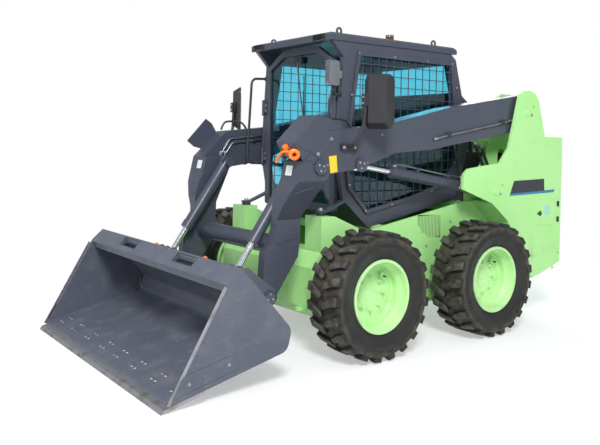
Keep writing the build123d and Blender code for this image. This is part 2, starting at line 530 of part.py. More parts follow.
DOOR_THICK, DOOR_STATION = 28.0, 1000.0
DOOR_BOTTOM, DOOR_TOP, DOOR_CORNER = 840.0, ROOF_LOW - 8, 120.0
DOOR_RAIL, DOOR_SHOULDER = 46.0, 200.0
door_outline = [(-DOOR_HALF, DOOR_BOTTOM), (DOOR_HALF, DOOR_BOTTOM), (DOOR_HALF, DOOR_TOP - DOOR_CORNER),
                (DOOR_HALF - DOOR_SHOULDER, DOOR_TOP), (DOOR_SHOULDER - DOOR_HALF, DOOR_TOP),
                (-DOOR_HALF, DOOR_TOP - DOOR_CORNER)]
light_half, light_shoulder = DOOR_HALF - DOOR_RAIL, DOOR_HALF - DOOR_SHOULDER - 8
door_light = [(-light_half, DOOR_BOTTOM + DOOR_RAIL), (light_half, DOOR_BOTTOM + DOOR_RAIL),
              (light_half, DOOR_TOP - DOOR_CORNER - 12), (light_shoulder, DOOR_TOP - DOOR_RAIL),
              (-light_shoulder, DOOR_TOP - DOOR_RAIL), (-light_half, DOOR_TOP - DOOR_CORNER - 12)]

with BuildPart() as door_frame:
    front_slab(door_outline, DOOR_STATION, DOOR_THICK, corner=18.0)
    front_slab(door_light, DOOR_STATION - 1, DOOR_THICK + 2, mode=Mode.SUBTRACT, corner=24.0)
    door_face = DOOR_STATION + DOOR_THICK
    block((door_face, door_face + 30), (DOOR_HALF - 40, DOOR_HALF - 16), (1230, 1330))
    for low, high in DOOR_HINGES:
        upright(*DOOR_AXIS, HINGE_LUG_R - 1, (low, high))
        block((door_face, DOOR_AXIS[0]), (DOOR_AXIS[1] + 4, DOOR_AXIS[1] + 20), (low, high))
        upright(*DOOR_AXIS, HINGE_PIN_R + RUN_GAP, (low - 1, high + 1), mode=Mode.SUBTRACT)
save(door_frame, "door_frame")

with BuildPart() as door_glass:
    front_slab(door_light, DOOR_STATION + 8, GLASS, corner=24.0)
save(door_glass, "door_glass")

SEAT_Z, SEAT_HALF, PAD_T = 1010.0, 225.0, 110.0
SEAT_X, BACK_TOP_Z = (80.0, 540.0), 1640.0
CONSOLE_Y, CONSOLE_Z, LEVER_R = (250.0, 340.0), 1190.0, 12.0
with BuildPart() as seat_base:
    slab([(SEAT_X[0] - 20, pan_z(SEAT_X[0] - 20) + PAN_SHEET), (SEAT_X[1] - 40, pan_z(SEAT_X[1] - 40) + PAN_SHEET),
          (SEAT_X[1] - 20, SEAT_Z), (SEAT_X[0] - 20, SEAT_Z)], -SEAT_HALF, SEAT_HALF)
save(seat_base, "seat_base")
with BuildPart() as seat_cushion:
    block(SEAT_X, (-SEAT_HALF, SEAT_HALF), (SEAT_Z + SEAT_GAP, SEAT_Z + PAD_T))
    fillet(seat_cushion.edges().filter_by(Axis.Y).group_by(Axis.Z)[-1], 30)
save(seat_cushion, "seat_cushion")
with BuildPart() as seat_back:
    back_foot = SEAT_Z + PAD_T + SEAT_GAP
    slab([(SEAT_X[0] + 80, back_foot), (SEAT_X[0] - 20, back_foot), (-60, BACK_TOP_Z - 30),
          (-35, BACK_TOP_Z), (20, BACK_TOP_Z), (45, BACK_TOP_Z - 30)], -SEAT_HALF + 10, SEAT_HALF - 10)
save(seat_back, "seat_back")
with BuildPart() as consoles:
    for out in (1, -1):
        slab([(160, pan_z(160) + PAN_SHEET), (160, CONSOLE_Z - 10), (540, CONSOLE_Z), (590, CONSOLE_Z - 50),
              (590, pan_z(590) + PAN_SHEET)], *across(out, *CONSOLE_Y), corner=8.0)
        stick = out * (CONSOLE_Y[0] + CONSOLE_Y[1]) / 2
        tube_path([(520, stick, CONSOLE_Z - 10), (535, stick, CONSOLE_Z + 60), (555, stick, CONSOLE_Z + 150)],
                  LEVER_R, bend=60.0)
save(consoles, "control_consoles")

# ----------------------------------------------------------------------------------------------
# On the cab: grab handles, lamps, gas struts, and the rubber mounts that the cab's feet stand on
# ----------------------------------------------------------------------------------------------
HANDLE_Y, HANDLE_R, HANDLE_BEND = CAB_HALF - 10.0, 9.0, 45.0
# (side, top height, (station, height) of the run's top and foot, foot height)
HANDLES = [(1, 1600.0, (1105.0, 1598.0), (1115.0, 1205.0), 1200.0),
           (-1, 1750.0, (1135.0, 1745.0), (1168.0, 1135.0), 1130.0)]


def handle_end(z):
    """Station where a handle's end meets the front post."""
    return max(post_front(z - HANDLE_R), post_front(z + HANDLE_R)) + 2 * SEAT_GAP


with BuildPart() as handles:
    for out, top, high, low, foot in HANDLES:
        width = out * HANDLE_Y
        tube_path([(handle_end(top), width, top), (high[0], width, high[1]), (low[0], width, low[1]),
                   (handle_end(foot), width, foot)], HANDLE_R, bend=HANDLE_BEND)
save(handles, "grab_handles")

VISOR_LAMP_Y, VISOR_LAMP_HALF, LAMP_DEPTH = 338.0, 54.0, 8.0
WORK_LAMP_Y, WORK_LAMP_Z = (CAB_IN + 3.5, CAB_IN + 58.0), (1650.0, 1808.0)
BEACON_PLACE, BEACON_R, BEACON_H = (520.0, 350.0), 28.0, 42.0
with BuildPart() as lamps:
    for out in (1, -1):
        block((VISOR_TIP, VISOR_TIP + LAMP_DEPTH),
              across(out, VISOR_LAMP_Y - VISOR_LAMP_HALF, VISOR_LAMP_Y + VISOR_LAMP_HALF),
              (ROOF_LOW, ROOF_LOW + 36))
        block((REAR_PLATE_X - 12, REAR_PLATE_X), across(out, LIFT_Y - 32, LIFT_Y + 32), TAIL_LAMP_Z)
    slab([(1052, WORK_LAMP_Z[0]), (1126, WORK_LAMP_Z[0]), (1126, WORK_LAMP_Z[1]), (1052, WORK_LAMP_Z[1])],
         *WORK_LAMP_Y, corner=24.0)
    slab([(post_front(1700) + SEAT_GAP, 1700), (1060, 1700), (1060, 1750), (post_front(1750) + SEAT_GAP, 1750)],
         CAB_IN + 8, CAB_HALF - 4)
    upright(*BEACON_PLACE, BEACON_R, (ROOF_TOP, ROOF_TOP + BEACON_H))
save(lamps, "lamps")

FOOT_Y = (CAB_IN + 10.0, CAB_IN + 50.0)
FOOT_Z, FOOT_T = 850.0, 12.0
foot_heel = (CAB_FRONT_LOW[0] + 0.5, CAB_FRONT_LOW[1] - 0.2)      # on the corner of the cab's side
foot_sole = (CAB_FRONT_LOW[0] - 14.0, CAB_FRONT_LOW[1] - 12.3)    # along its lower edge
with BuildPart() as cab_mounts:
    for out in (1, -1):
        centre = out * (FOOT_Y[0] + FOOT_Y[1]) / 2
        slab([foot_heel, (1135, FOOT_Z + FOOT_T), (1195, FOOT_Z + FOOT_T), (1195, FOOT_Z), (1130, FOOT_Z),
              foot_sole], *across(out, *FOOT_Y))
        upright(MOUNT_STATION, centre, MOUNT_R, (POD_TOP, FOOT_Z))
        upright(MOUNT_STATION, centre, 11.0, (FOOT_Z + FOOT_T, FOOT_Z + FOOT_T + 14))
save(cab_mounts, "cab_mounts")

with BuildPart() as struts:
    for out in (1, -1):
        width = out * STRUT_Y
        rod_between(strut_low, along(strut_low, strut_high, 290), STRUT_R, width)
        rod_between(along(strut_low, strut_high, 290), strut_high, STRUT_ROD_R, width)
        disc(strut_low, 14, *across(out, STRUT_Y - 8, STRUT_Y + 8))
        disc(strut_low, 7, *across(out, STRUT_Y, TOWER_IN))
        disc(strut_high, 14, *across(out, STRUT_Y - 8, STRUT_Y + 8))
        disc(strut_high, 7, *across(out, CAB_HALF, STRUT_Y))
save(struts, "cab_struts")

# ----------------------------------------------------------------------------------------------
# Boom: two bent arms, the cross tube between the legs, the knee hood, mirrors and steel lines
# ----------------------------------------------------------------------------------------------
ARM_REAR_R = 134.0
PIVOT_BOSS_R, PIVOT_END_R = PIN_R + 20.0, 50.0
beam = [(-573, 1531 + ARM_REAR_R), (233, 1540), (838, 1406), (1100, 1380), (1100, 1126), (922, 1169),
        (745, 1230), (421, 1252), (-545, 1400)]
knee = [(950, 1392), (1289, 1362), (1484, 1177), (1511, 1064), (1301, 1097), (1103, 1126), (950, 1162)]
leg = [(1310, 1180), (1484, 1177), (1511, 1064), (1545, 1000), (1570, 900), (1576, 780), (1610, 690),
       (1655, 640), (1668, 438), BUCKET_PIVOT, (1594, 352), (1413, 608), (1400, 718), (1398, 855), (1290, 1099)]
BEND_TOP, BEND_LOW = 1062.0, 830.0     # the outer face of the leg bends inwards between these
CROSS_TUBE, CROSS_R = (1491.0, 665.0), 59.0
EYE_HALF = 28.0                         # half-width of a cylinder's eye
EYE_SLOT = EYE_HALF + 8.0
LIFT_BARREL_R, LIFT_ROD_R, LIFT_EYE_R = 37.0, 20.0, 44.0
TILT_BARREL_R, TILT_ROD_R, TILT_EYE_R = 37.0, 20.0, 42.0
TILT_PIN_R = 20.0
GLAND_R, GLAND = 4.0, 45.0              # how much thicker the gland is than the barrel, and its length
LIFT_GLAND, TILT_GLAND = 956.0, 549.0   # eye to the barrel's front face
TILT_PIN_END = TILT_Y - EYE_HALF - 16.0

for label, out in (("left", 1), ("right", -1)):
    with BuildPart() as arm:
        slab(beam, *across(out, ARM_IN, ARM_OUT))
        disc(BOOM_PIVOT, ARM_REAR_R, *across(out, ARM_IN, ARM_OUT))
        slab(knee, *across(out, ARM_IN, ARM_OUT))
        slab(leg, *across(out, KNEE_IN, ARM_OUT))
        disc(BUCKET_PIVOT, PIVOT_END_R, *across(out, KNEE_IN, ARM_OUT))
        far = ARM_OUT + 60
        front_slab([(out * LEG_OUT, BEND_LOW), (out * ARM_OUT, BEND_TOP), (out * far, BEND_TOP),
                    (out * far, 300), (out * LEG_OUT, 300)], 1200, 600, mode=Mode.SUBTRACT)
        disc(BOOM_PIVOT, PIVOT_BOSS_R, *across(out, TOWER_IN + TOWER_PLATE + SIDE_GAP,
                                               TOWER_OUT - TOWER_PLATE - SIDE_GAP))
        disc(BOOM_PIVOT, PIN_R + RUN_GAP, *across(out, TOWER_IN, TOWER_OUT), mode=Mode.SUBTRACT)
        disc(BUCKET_PIVOT, PIN_R + RUN_GAP, *across(out, KNEE_IN - 1, ARM_OUT + 1), mode=Mode.SUBTRACT)
        # the lift cylinder's eye works in a slot that is open below
        slab([(860, 1000), (860, 1175), (960, 1222), (1110, 1222), (1110, 1000)],
             *across(out, LIFT_Y - EYE_SLOT, LIFT_Y + EYE_SLOT), mode=Mode.SUBTRACT)
        for centre in (LIFT_EYE, TILT_BASE):
            disc(centre, CAP_R, *across(out, ARM_OUT, ARM_OUT + CAP_T))
        disc(TILT_BASE, TILT_PIN_R, *across(out, TILT_PIN_END, KNEE_IN))
        disc(TILT_BASE, TILT_PIN_R + 12, *across(out, TILT_PIN_END - CAP_T, TILT_PIN_END))
    save(arm, f"{label}_arm")

with BuildPart() as cross_tube:
    disc(CROSS_TUBE, CROSS_R, -KNEE_IN, KNEE_IN)
save(cross_tube, "cross_tube")

HOOD_T = 8.0
knee_hood_outline = [(1180, 1372.5), (1210, 1414), (1374, 1452), (1545, 1292), (1485, 1178), (1289, 1363)]
knee_hood_inside = [(1196, 1360), (1218, 1407), (1371, 1443), (1534, 1292), (1484, 1170), (1280, 1355)]
with BuildPart() as knee_hood:
    slab(knee_hood_outline, KNEE_IN, ARM_OUT)
    slab(knee_hood_inside, KNEE_IN + HOOD_T, ARM_OUT - HOOD_T, mode=Mode.SUBTRACT)
save(knee_hood, "knee_hood")

# Mirror heads are turned towards the driver, on bent stems from the outer faces of the arms.
MIRROR_BACK = (1003.0, ARM_OUT + 120.0, 1540.0)      # middle of the mirror's glass side
MIRROR_W, MIRROR_H, MIRROR_CORNER, MIRROR_RIM, MIRROR_SHELL = 180.0, 330.0, 45.0, 12.0, 50.0
MIRROR_TURN = 33.0
STEM_R, CLAMP_R = 11.0, 20.0
STEM_TOP = (1085.0, ARM_OUT + 90.0, 1575.0)
with BuildPart() as mirrors:
    for out in (1, -1):
        block((1078, 1204), across(out, ARM_OUT, ARM_OUT + 14), (1240, 1286))
        tube_path([(1150, out * (ARM_OUT + 8), 1263), (1140, out * (ARM_OUT + 55), 1275),
                   (1095, out * (ARM_OUT + 88), 1400), (STEM_TOP[0], out * STEM_TOP[1], STEM_TOP[2])],
                  STEM_R, bend=30.0)
        upright(STEM_TOP[0], out * STEM_TOP[1], CLAMP_R, (STEM_TOP[2] - 60, STEM_TOP[2] + 10))
        outward = Vector(cos(radians(MIRROR_TURN)), out * sin(radians(MIRROR_TURN)), 0)
        level = Vector(-outward.Y, outward.X, 0)
        glass_side = Vector(REAR_AXLE_X + MIRROR_BACK[0], out * MIRROR_BACK[1], MIRROR_BACK[2])
        with BuildSketch(Plane(origin=glass_side, x_dir=level, z_dir=outward)) as rim_sketch:
            RectangleRounded(MIRROR_W, MIRROR_H, MIRROR_CORNER)
        extrude(rim_sketch.sketch, amount=MIRROR_RIM)
        with BuildSketch(Plane(origin=glass_side + outward * MIRROR_RIM, x_dir=level, z_dir=outward)) as shell:
            RectangleRounded(MIRROR_W, MIRROR_H, MIRROR_CORNER)
        extrude(shell.sketch, amount=MIRROR_SHELL, taper=35)
save(mirrors, "mirrors")

LINE_R, LINE_OFF, LINE_PITCH = 7.0, 9.0, 30.0
line_route = [(-330, 1570), (233, 1484), (838, 1350), (1270, 1306), (1345, 1186)]
with BuildPart() as steel_lines:
    for out in (1, -1):
        width = out * (ARM_IN - LINE_OFF)
        for row in (0, 1):
            drop = row * LINE_PITCH
            points = [(s - drop * 0.7 * (s > 1000), width, z - drop) for s, z in line_route[:-1]]
            end = line_route[-1]
            points.append((end[0] - drop * 1.2, width, end[1]))
            tube_path(points, LINE_R, bend=45.0)
        for station, top in ((-150.0, 1560.0), (500.0, 1444.0), (1050.0, 1346.0)):
            block((station - 12, station + 12), across(out, ARM_IN - LINE_OFF, ARM_IN), (top - 70, top))
save(steel_lines, "steel_lines")


def cylinder_barrel(base, tip, width, barrel_r, gland, eye_r, pin_r, rod_r):
    """A cylinder's barrel: base eye, tube and gland, with the bore that its rod slides in."""
    disc(base, eye_r, width - EYE_HALF, width + EYE_HALF)
    rod_between(base, along(base, tip, gland), barrel_r, width)
    rod_between(along(base, tip, gland - GLAND), along(base, tip, gland), barrel_r + GLAND_R, width)
    rod_between(along(base, tip, eye_r + 30), along(base, tip, gland + 1), rod_r + RUN_GAP, width,
                mode=Mode.SUBTRACT)
    disc(base, pin_r + RUN_GAP, width - EYE_HALF - 20, width + EYE_HALF + 20, mode=Mode.SUBTRACT)


def cylinder_rod(base, tip, width, start, rod_r, eye_r, pin_r, pin_half):
    """A cylinder's rod from inside the barrel to its eye, and the pin that stays in the eye."""
    rod_between(along(base, tip, start), tip, rod_r, width)
    disc(tip, eye_r, width - EYE_HALF + 6, width + EYE_HALF - 6)
    disc(tip, pin_r, width - pin_half, width + pin_half)


with BuildPart() as lift_barrels:
    for out in (1, -1):
        cylinder_barrel(LIFT_BASE, LIFT_EYE, out * LIFT_Y, LIFT_BARREL_R, LIFT_GLAND, LIFT_EYE_R,
                        PIN_R, LIFT_ROD_R)
save(lift_barrels, "lift_barrels")
with BuildPart() as lift_rods:
    for out in (1, -1):
        cylinder_rod(LIFT_BASE, LIFT_EYE, out * LIFT_Y, 120, LIFT_ROD_R, LIFT_EYE_R - 6, 18, EYE_HALF)
save(lift_rods, "lift_rods")
with BuildPart() as tilt_barrels:
    for out in (1, -1):
        cylinder_barrel(TILT_BASE, TILT_EYE, out * TILT_Y, TILT_BARREL_R, TILT_GLAND, TILT_EYE_R,
                        TILT_PIN_R, TILT_ROD_R)
save(tilt_barrels, "tilt_barrels")
with BuildPart() as tilt_rods:
    for out in (1, -1):
        cylinder_rod(TILT_BASE, TILT_EYE, out * TILT_Y, 200, TILT_ROD_R, 34, 16, EYE_HALF + 3)
save(tilt_rods, "tilt_rods")

# ----------------------------------------------------------------------------------------------
# Coupler and bucket
# ----------------------------------------------------------------------------------------------
BACK_LOW, BACK_TOP = (1744.0, 303.0), (2064.0, 653.0)      # outer face of the bucket's back
back_run = Vector(BACK_TOP[0] - BACK_LOW[0], BACK_TOP[1] - BACK_LOW[1]).normalized()


def behind_back(distance, offset):
    """A side-view point up the back's outer face by a distance and behind it by an offset."""
    return (BACK_LOW[0] + back_run.X * distance - back_run.Y * offset,
            BACK_LOW[1] + back_run.Y * distance + back_run.X * offset)


EAR = 15.0
FACE_T = 14.0
EAR_MIDDLE = KNEE_IN - SIDE_GAP - EAR              # the ear between the leg and the tilt cylinder
EAR_INNER = TILT_Y - (EAR_MIDDLE - TILT_Y) - EAR   # the ear on the cylinder's other side
EAR_OUTER = LEG_OUT + SIDE_GAP
LEVER_Y = EAR_INNER - 40.0
coupler_ear = [behind_back(-20, 0), behind_back(330, 0), behind_back(330, 30), (1826, 566),
               (1780, 572), (1742, 540), (1600, 440), (1580, 395), (1600, 345), (1650, 330), behind_back(-20, 30)]
with BuildPart() as coupler:
    for out in (1, -1):
        for ear in (EAR_INNER, EAR_MIDDLE, EAR_OUTER):
            slab(coupler_ear, *across(out, ear, ear + EAR))
        for low, high in ((-20, 60), (290, 330)):
            slab([behind_back(low, 0), behind_back(high, 0), behind_back(high, FACE_T), behind_back(low, FACE_T)],
                 *across(out, EAR_INNER, EAR_OUTER + EAR))
        disc(BUCKET_PIVOT, PIN_R, *across(out, EAR_MIDDLE, EAR_OUTER + EAR))
        disc(BUCKET_PIVOT, CAP_R, *across(out, EAR_OUTER + EAR, EAR_OUTER + EAR + CAP_T))
        # the locking lever and its pivot on the inner ear
        disc(behind_back(170, 45), 20, *across(out, LEVER_Y - 12, EAR_INNER))
        rod_between(behind_back(170, 45), behind_back(345, 62), 9, out * LEVER_Y)
    slab([behind_back(0, 0), behind_back(70, 0), behind_back(70, 50), behind_back(0, 50)],
         -EAR_INNER, EAR_INNER)
save(coupler, "coupler")

HEEL, LIP_TOP = (1770.0, 190.0), (2140.0, 586.0)
EDGE_REAR, EDGE_T = 2270.0, 16.5
FLOOR_SLOPE = 0.2349
SIDE_SHEET, SHEET = 18.0, 12.0


def floor_z(station):
    """Height of the floor's underside at a station."""
    return HEEL[1] - FLOOR_SLOPE * (station - HEEL[0])


with BuildPart() as bucket:
    with BuildSketch(side(BUCKET_HALF)) as shell:
        with BuildLine():
            FilletPolyline((BUCKET_TIP - 43, floor_z(BUCKET_TIP - 43)), HEEL, BACK_LOW, BACK_TOP, radius=60.0)
            Polyline(BACK_TOP, LIP_TOP, (BUCKET_TIP - 43, floor_z(BUCKET_TIP - 43)))
        make_face()
    extrude(shell.sketch, amount=2 * BUCKET_HALF)
    with BuildSketch(side(BUCKET_HALF - SIDE_SHEET)) as hollow:
        with BuildLine():
            FilletPolyline((2600, floor_z(2600) + SHEET), (HEEL[0] + 12, floor_z(HEEL[0] + 12) + SHEET),
                           (BACK_LOW[0] + 13, BACK_LOW[1] - 4), (BACK_TOP[0] + 8.9, BACK_TOP[1] - 8.1),
                           radius=48.0)
            Polyline((BACK_TOP[0] + 8.9, BACK_TOP[1] - 8.1), (2140, 573), (2600, 573),
                     (2600, floor_z(2600) + SHEET))
        make_face()
    extrude(hollow.sketch, amount=2 * (BUCKET_HALF - SIDE_SHEET), mode=Mode.SUBTRACT)
    # the folded channel along the top of the back, with two step pockets
    slab([(2030, 596), (2068, 640), LIP_TOP, (2125, 530), (2113, 530), (2124, 575), (2068, 612), (2040, 584)],
         -BUCKET_HALF + SIDE_SHEET, BUCKET_HALF - SIDE_SHEET)
    for out in (1, -1):
        block((2072, 2122), across(out, 250, 480), (570, 660), mode=Mode.SUBTRACT)
save(bucket, "bucket")

with BuildPart() as edge:
    slab([(BUCKET_TIP, 0), (EDGE_REAR, floor_z(EDGE_REAR) - EDGE_T), (EDGE_REAR, floor_z(EDGE_REAR)),
          (BUCKET_TIP - 15, floor_z(BUCKET_TIP - 15))], -BUCKET_HALF, BUCKET_HALF)
save(edge, "cutting_edge")
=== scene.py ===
# %% [markdown]
# # Dressing a skid steer loader
# The construction model already has every plate, arm, wheel and door at its real size. This lesson
# dresses it: finishes for the metal, glass and rubber, and the small pieces that make it look built.
# We load the fixed frame first, because every new piece is placed from it and rides on its bodies.

# %% Load the frame
import json
from math import cos, hypot, pi, radians, sin

import bpy
from mathutils import Matrix, Vector


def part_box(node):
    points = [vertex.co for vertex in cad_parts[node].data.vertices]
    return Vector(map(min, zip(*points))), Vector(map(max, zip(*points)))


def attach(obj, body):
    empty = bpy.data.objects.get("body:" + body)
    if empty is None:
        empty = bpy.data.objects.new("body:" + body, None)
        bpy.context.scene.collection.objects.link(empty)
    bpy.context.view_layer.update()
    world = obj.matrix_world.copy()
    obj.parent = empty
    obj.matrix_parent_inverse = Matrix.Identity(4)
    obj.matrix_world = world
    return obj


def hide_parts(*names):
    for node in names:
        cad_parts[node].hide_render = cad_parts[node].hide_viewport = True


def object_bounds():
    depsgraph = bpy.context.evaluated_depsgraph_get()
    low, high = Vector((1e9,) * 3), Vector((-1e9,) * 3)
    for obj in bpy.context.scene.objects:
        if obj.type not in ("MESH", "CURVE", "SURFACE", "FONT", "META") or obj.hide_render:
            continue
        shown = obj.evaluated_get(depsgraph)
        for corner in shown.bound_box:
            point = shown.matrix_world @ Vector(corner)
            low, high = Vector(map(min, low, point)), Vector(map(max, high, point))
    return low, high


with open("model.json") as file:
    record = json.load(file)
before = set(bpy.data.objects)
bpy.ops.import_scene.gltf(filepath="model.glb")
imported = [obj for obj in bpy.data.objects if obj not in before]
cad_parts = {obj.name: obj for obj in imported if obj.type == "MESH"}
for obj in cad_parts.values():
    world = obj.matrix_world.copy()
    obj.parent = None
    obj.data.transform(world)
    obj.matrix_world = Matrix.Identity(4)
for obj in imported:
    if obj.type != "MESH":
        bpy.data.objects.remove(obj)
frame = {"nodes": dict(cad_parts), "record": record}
frame_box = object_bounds()
nodes = frame["nodes"]

# %% [markdown]
# The machine stands on the ground with its length along X. The camera stands in front and to its
# left, at about the height of a person's chest, and looks slightly past the middle of the machine.
# Three directions (right, up and back) are the columns of its matrix, which keeps its small roll exact.

# %% Camera
CAMERA_PLACE = Vector((3.2642, 3.8699, 1.2892))
CAMERA_TURN, CAMERA_TILT, CAMERA_ROLL = radians(144.8394), radians(1.3288), radians(0.9227)
FOCAL_LENGTH, SENSOR_WIDTH = 42.585, 36.0        # millimetres
SHIFT_X, SHIFT_Y = 0.054, -0.1072


def add_object(name, data):
    """Put a new object with this data into the scene."""
    thing = bpy.data.objects.new(name, data)
    bpy.context.scene.collection.objects.link(thing)
    return thing


back = Vector((sin(CAMERA_TURN) * cos(CAMERA_TILT), -cos(CAMERA_TURN) * cos(CAMERA_TILT), sin(CAMERA_TILT)))
level = Vector((0, 0, 1)).cross(back).normalized()
over = back.cross(level)
right = level * cos(CAMERA_ROLL) + over * sin(CAMERA_ROLL)
top = over * cos(CAMERA_ROLL) - level * sin(CAMERA_ROLL)
camera_data = bpy.data.cameras.new("camera")
camera_data.lens, camera_data.sensor_width = FOCAL_LENGTH, SENSOR_WIDTH
camera_data.shift_x, camera_data.shift_y = SHIFT_X, SHIFT_Y
camera = add_object("camera", camera_data)
camera.matrix_world = Matrix((*zip(right, top, back, CAMERA_PLACE), (0, 0, 0, 1)))
bpy.context.scene.camera = camera
bpy.context.scene.view_settings.view_transform = "Standard"

# %% [markdown]
# Materials, the floor and the sky are small node trees. `feed` gives a node's inputs a number, a
# colour or another node's output, and `add_node` adds a node, feeds it and gives back an output.

# %% Node helpers
def feed(tree, node, inputs):
    """Give inputs of a node, by name or number, a value, a colour or another node's output."""
    for key, value in inputs.items():
        socket = node.inputs[key]
        if isinstance(value, bpy.types.NodeSocket):
            tree.links.new(value, socket)
        else:
            socket.default_value = (*value, 1) if socket.type == "RGBA" else value


def add_node(tree, kind, inputs=None, out=0, **settings):
    """Add a node with these settings and inputs, and give back one of its outputs."""
    node = tree.nodes.new("ShaderNode" + kind)
    for setting, value in settings.items():
        setattr(node, setting, value)
    feed(tree, node, inputs or {})
    return node.outputs[out]


def most(tree, first, second):
    """The larger one of two numbers."""
    return add_node(tree, "Math", {0: first, 1: second}, operation="MAXIMUM")

# %% [markdown]
# A product picture has a plain pale floor and large soft lamps. The floor looks white to the camera
# because its material says so, not because more light falls on it, so colours on the machine stay
# as they are written. Light Path tells camera and mirror rays apart from the rays that carry light.

# %% Studio floor, world and lamps
FLOOR_SIZE, FLOOR_GAP = 60.0, 0.001   # the floor lies just under the tyres
NEAR_FLOOR, FAR_FLOOR = 2.3, 4.6      # where the floor starts and ends its fade to the backdrop
FLOOR_GLOW, SKY_LIGHT = 0.42, 0.54


def deselect():
    """Leave edit mode and select nothing, so that the next operator acts only on what it is given."""
    if bpy.context.object and bpy.context.object.mode != "OBJECT":
        bpy.ops.object.mode_set(mode="OBJECT")
    bpy.ops.object.select_all(action="DESELECT")


def rays(tree, *kinds):
    """Outputs of Light Path, one for each kind of ray."""
    return [add_node(tree, "LightPath", out=f"Is {kind} Ray") for kind in kinds]


deselect()
bpy.ops.mesh.primitive_plane_add(size=FLOOR_SIZE, location=(0, 0, frame_box[0].z - FLOOR_GAP))
floor = bpy.context.object
floor.name = "studio_floor"
floor_finish = bpy.data.materials.new("floor_finish")
floor_finish.use_nodes = True
tree = floor_finish.node_tree
tree.nodes.clear()
camera_ray, glossy_ray, glass_ray = rays(tree, "Camera", "Glossy", "Transmission")
seen = most(tree, most(tree, camera_ray, glossy_ray), glass_ray)
reach = add_node(tree, "VectorMath", {0: add_node(tree, "TexCoord", out="Object")}, "Value", operation="LENGTH")
fade = add_node(tree, "MapRange", {"Value": reach, "From Min": NEAR_FLOOR, "From Max": FAR_FLOOR})
near = add_node(tree, "AddShader", {0: add_node(tree, "BsdfDiffuse", {"Color": (0.62, 0.62, 0.63)}),
                                    1: add_node(tree, "Emission", {"Strength": FLOOR_GLOW})})
shown = add_node(tree, "MixShader", {0: fade, 1: near, 2: add_node(tree, "Emission", {"Strength": 1.0})})
paper = add_node(tree, "BsdfDiffuse", {"Color": (0.80, 0.80, 0.80)})
feed(tree, tree.nodes.new("ShaderNodeOutputMaterial"),
     {"Surface": add_node(tree, "MixShader", {0: seen, 1: paper, 2: shown})})
floor.data.materials.append(floor_finish)

world = bpy.data.worlds.new("studio")
bpy.context.scene.world = world
world.use_nodes = True
sky = world.node_tree
light = sky.nodes["Background"]
feed(sky, light, {"Color": (0.90, 0.95, 1.0), "Strength": SKY_LIGHT})
white = add_node(sky, "Background", {"Color": (1, 1, 1), "Strength": 1.0})
seen = most(sky, *rays(sky, "Camera", "Transmission"))
feed(sky, sky.nodes["World Output"],
     {"Surface": add_node(sky, "MixShader", {0: seen, 1: light.outputs["Background"], 2: white})})

# (name, place, what it points at, size, watts)
LAMPS = [
    ("key_lamp", (3.9, 5.5, 6.0), (0.0, 0.0, 0.8), 2.0, 565),
    ("front_lamp", (6.5, -0.5, 3.2), (0.8, 0.0, 0.8), 3.0, 72),
    ("back_lamp", (-5.0, -4.0, 4.6), (0.0, 0.0, 1.0), 3.0, 170),
]
for name, place, aim, size, watts in LAMPS:
    lamp_data = bpy.data.lights.new(name, "AREA")
    lamp_data.shape = "DISK"
    lamp_data.size, lamp_data.energy = size, watts
    lamp = add_object(name, lamp_data)
    lamp.location = place
    lamp.rotation_euler = (Vector(aim) - Vector(place)).to_track_quat("-Z", "Y").to_euler()
print("studio: floor,", len(LAMPS), "lamps")

# %% [markdown]
# The frame gives the wheels' axles as joints. A place is then said the way a fitter would say it:
# how far ahead of the rear axle (its station), how far out, and how high above the ground.

# %% Places on the machine
hinge_at = {j["name"]: Vector(j["pos_m"]) for j in frame["record"]["behaviour"]["joints"] if "pos_m" in j}
rear_axle = hinge_at["rear_left_wheel_spin"]
front_axle = hinge_at["front_left_wheel_spin"]
SIDES = (1, -1)                       # out to the left is +Y, out to the right is -Y


def at(station, width, height):
    """The point a distance ahead of the rear axle, out to the left, and above the ground."""
    return Vector((rear_axle.x + station, width, height))


def both(make):
    """Everything that `make` builds on the left (1) and then on the right (-1), in one list."""
    return [piece for out in SIDES for piece in make(out)]


def screws_on(width, places):
    """Places and directions for screws at (station, height) points on both sides, this far out."""
    return both(lambda out: [(at(station, out * width, height), (0, out, 0)) for station, height in places])


print("wheelbase:", round(front_axle.x - rear_axle.x, 3), "m, track:", round(2 * rear_axle.y, 3), "m")

# %% [markdown]
# A few small tools save typing. `settle` bakes a piece's place into its mesh, so its object sits at
# the origin like the frame's own nodes, then smooths it by angle, gives it a finish and tells the
# frame which body it rides on. `build` joins like pieces first: a row of bolts is one piece.

# %% Tools for finishing a piece
def pick(*pieces):
    """Select only these pieces and make the first one active."""
    deselect()
    for piece in pieces:
        piece.select_set(True)
    bpy.context.view_layer.objects.active = pieces[0]


def edit(piece):
    """Open one piece in edit mode with all of it selected."""
    pick(piece)
    bpy.ops.object.mode_set(mode="EDIT")
    bpy.ops.mesh.select_all(action="SELECT")


def apply(piece, kind, **settings):
    """Add one modifier to a piece with these settings, and apply it."""
    pick(piece)
    modifier = piece.modifiers.new(kind.lower(), kind)
    for setting, value in settings.items():
        setattr(modifier, setting, value)
    bpy.ops.object.modifier_apply(modifier=modifier.name)
    return piece


def bake_place(piece):
    """Move a piece's place, turn and size into its mesh."""
    pick(piece)
    bpy.ops.object.transform_apply(location=True, rotation=True, scale=True)
    return piece


def join(pieces, name):
    """Merge pieces into one mesh with a name."""
    for piece in pieces:
        bake_place(piece)
    pick(*pieces)
    if len(pieces) > 1:
        bpy.ops.object.join()
    piece = bpy.context.object
    piece.name = piece.data.name = name
    return piece


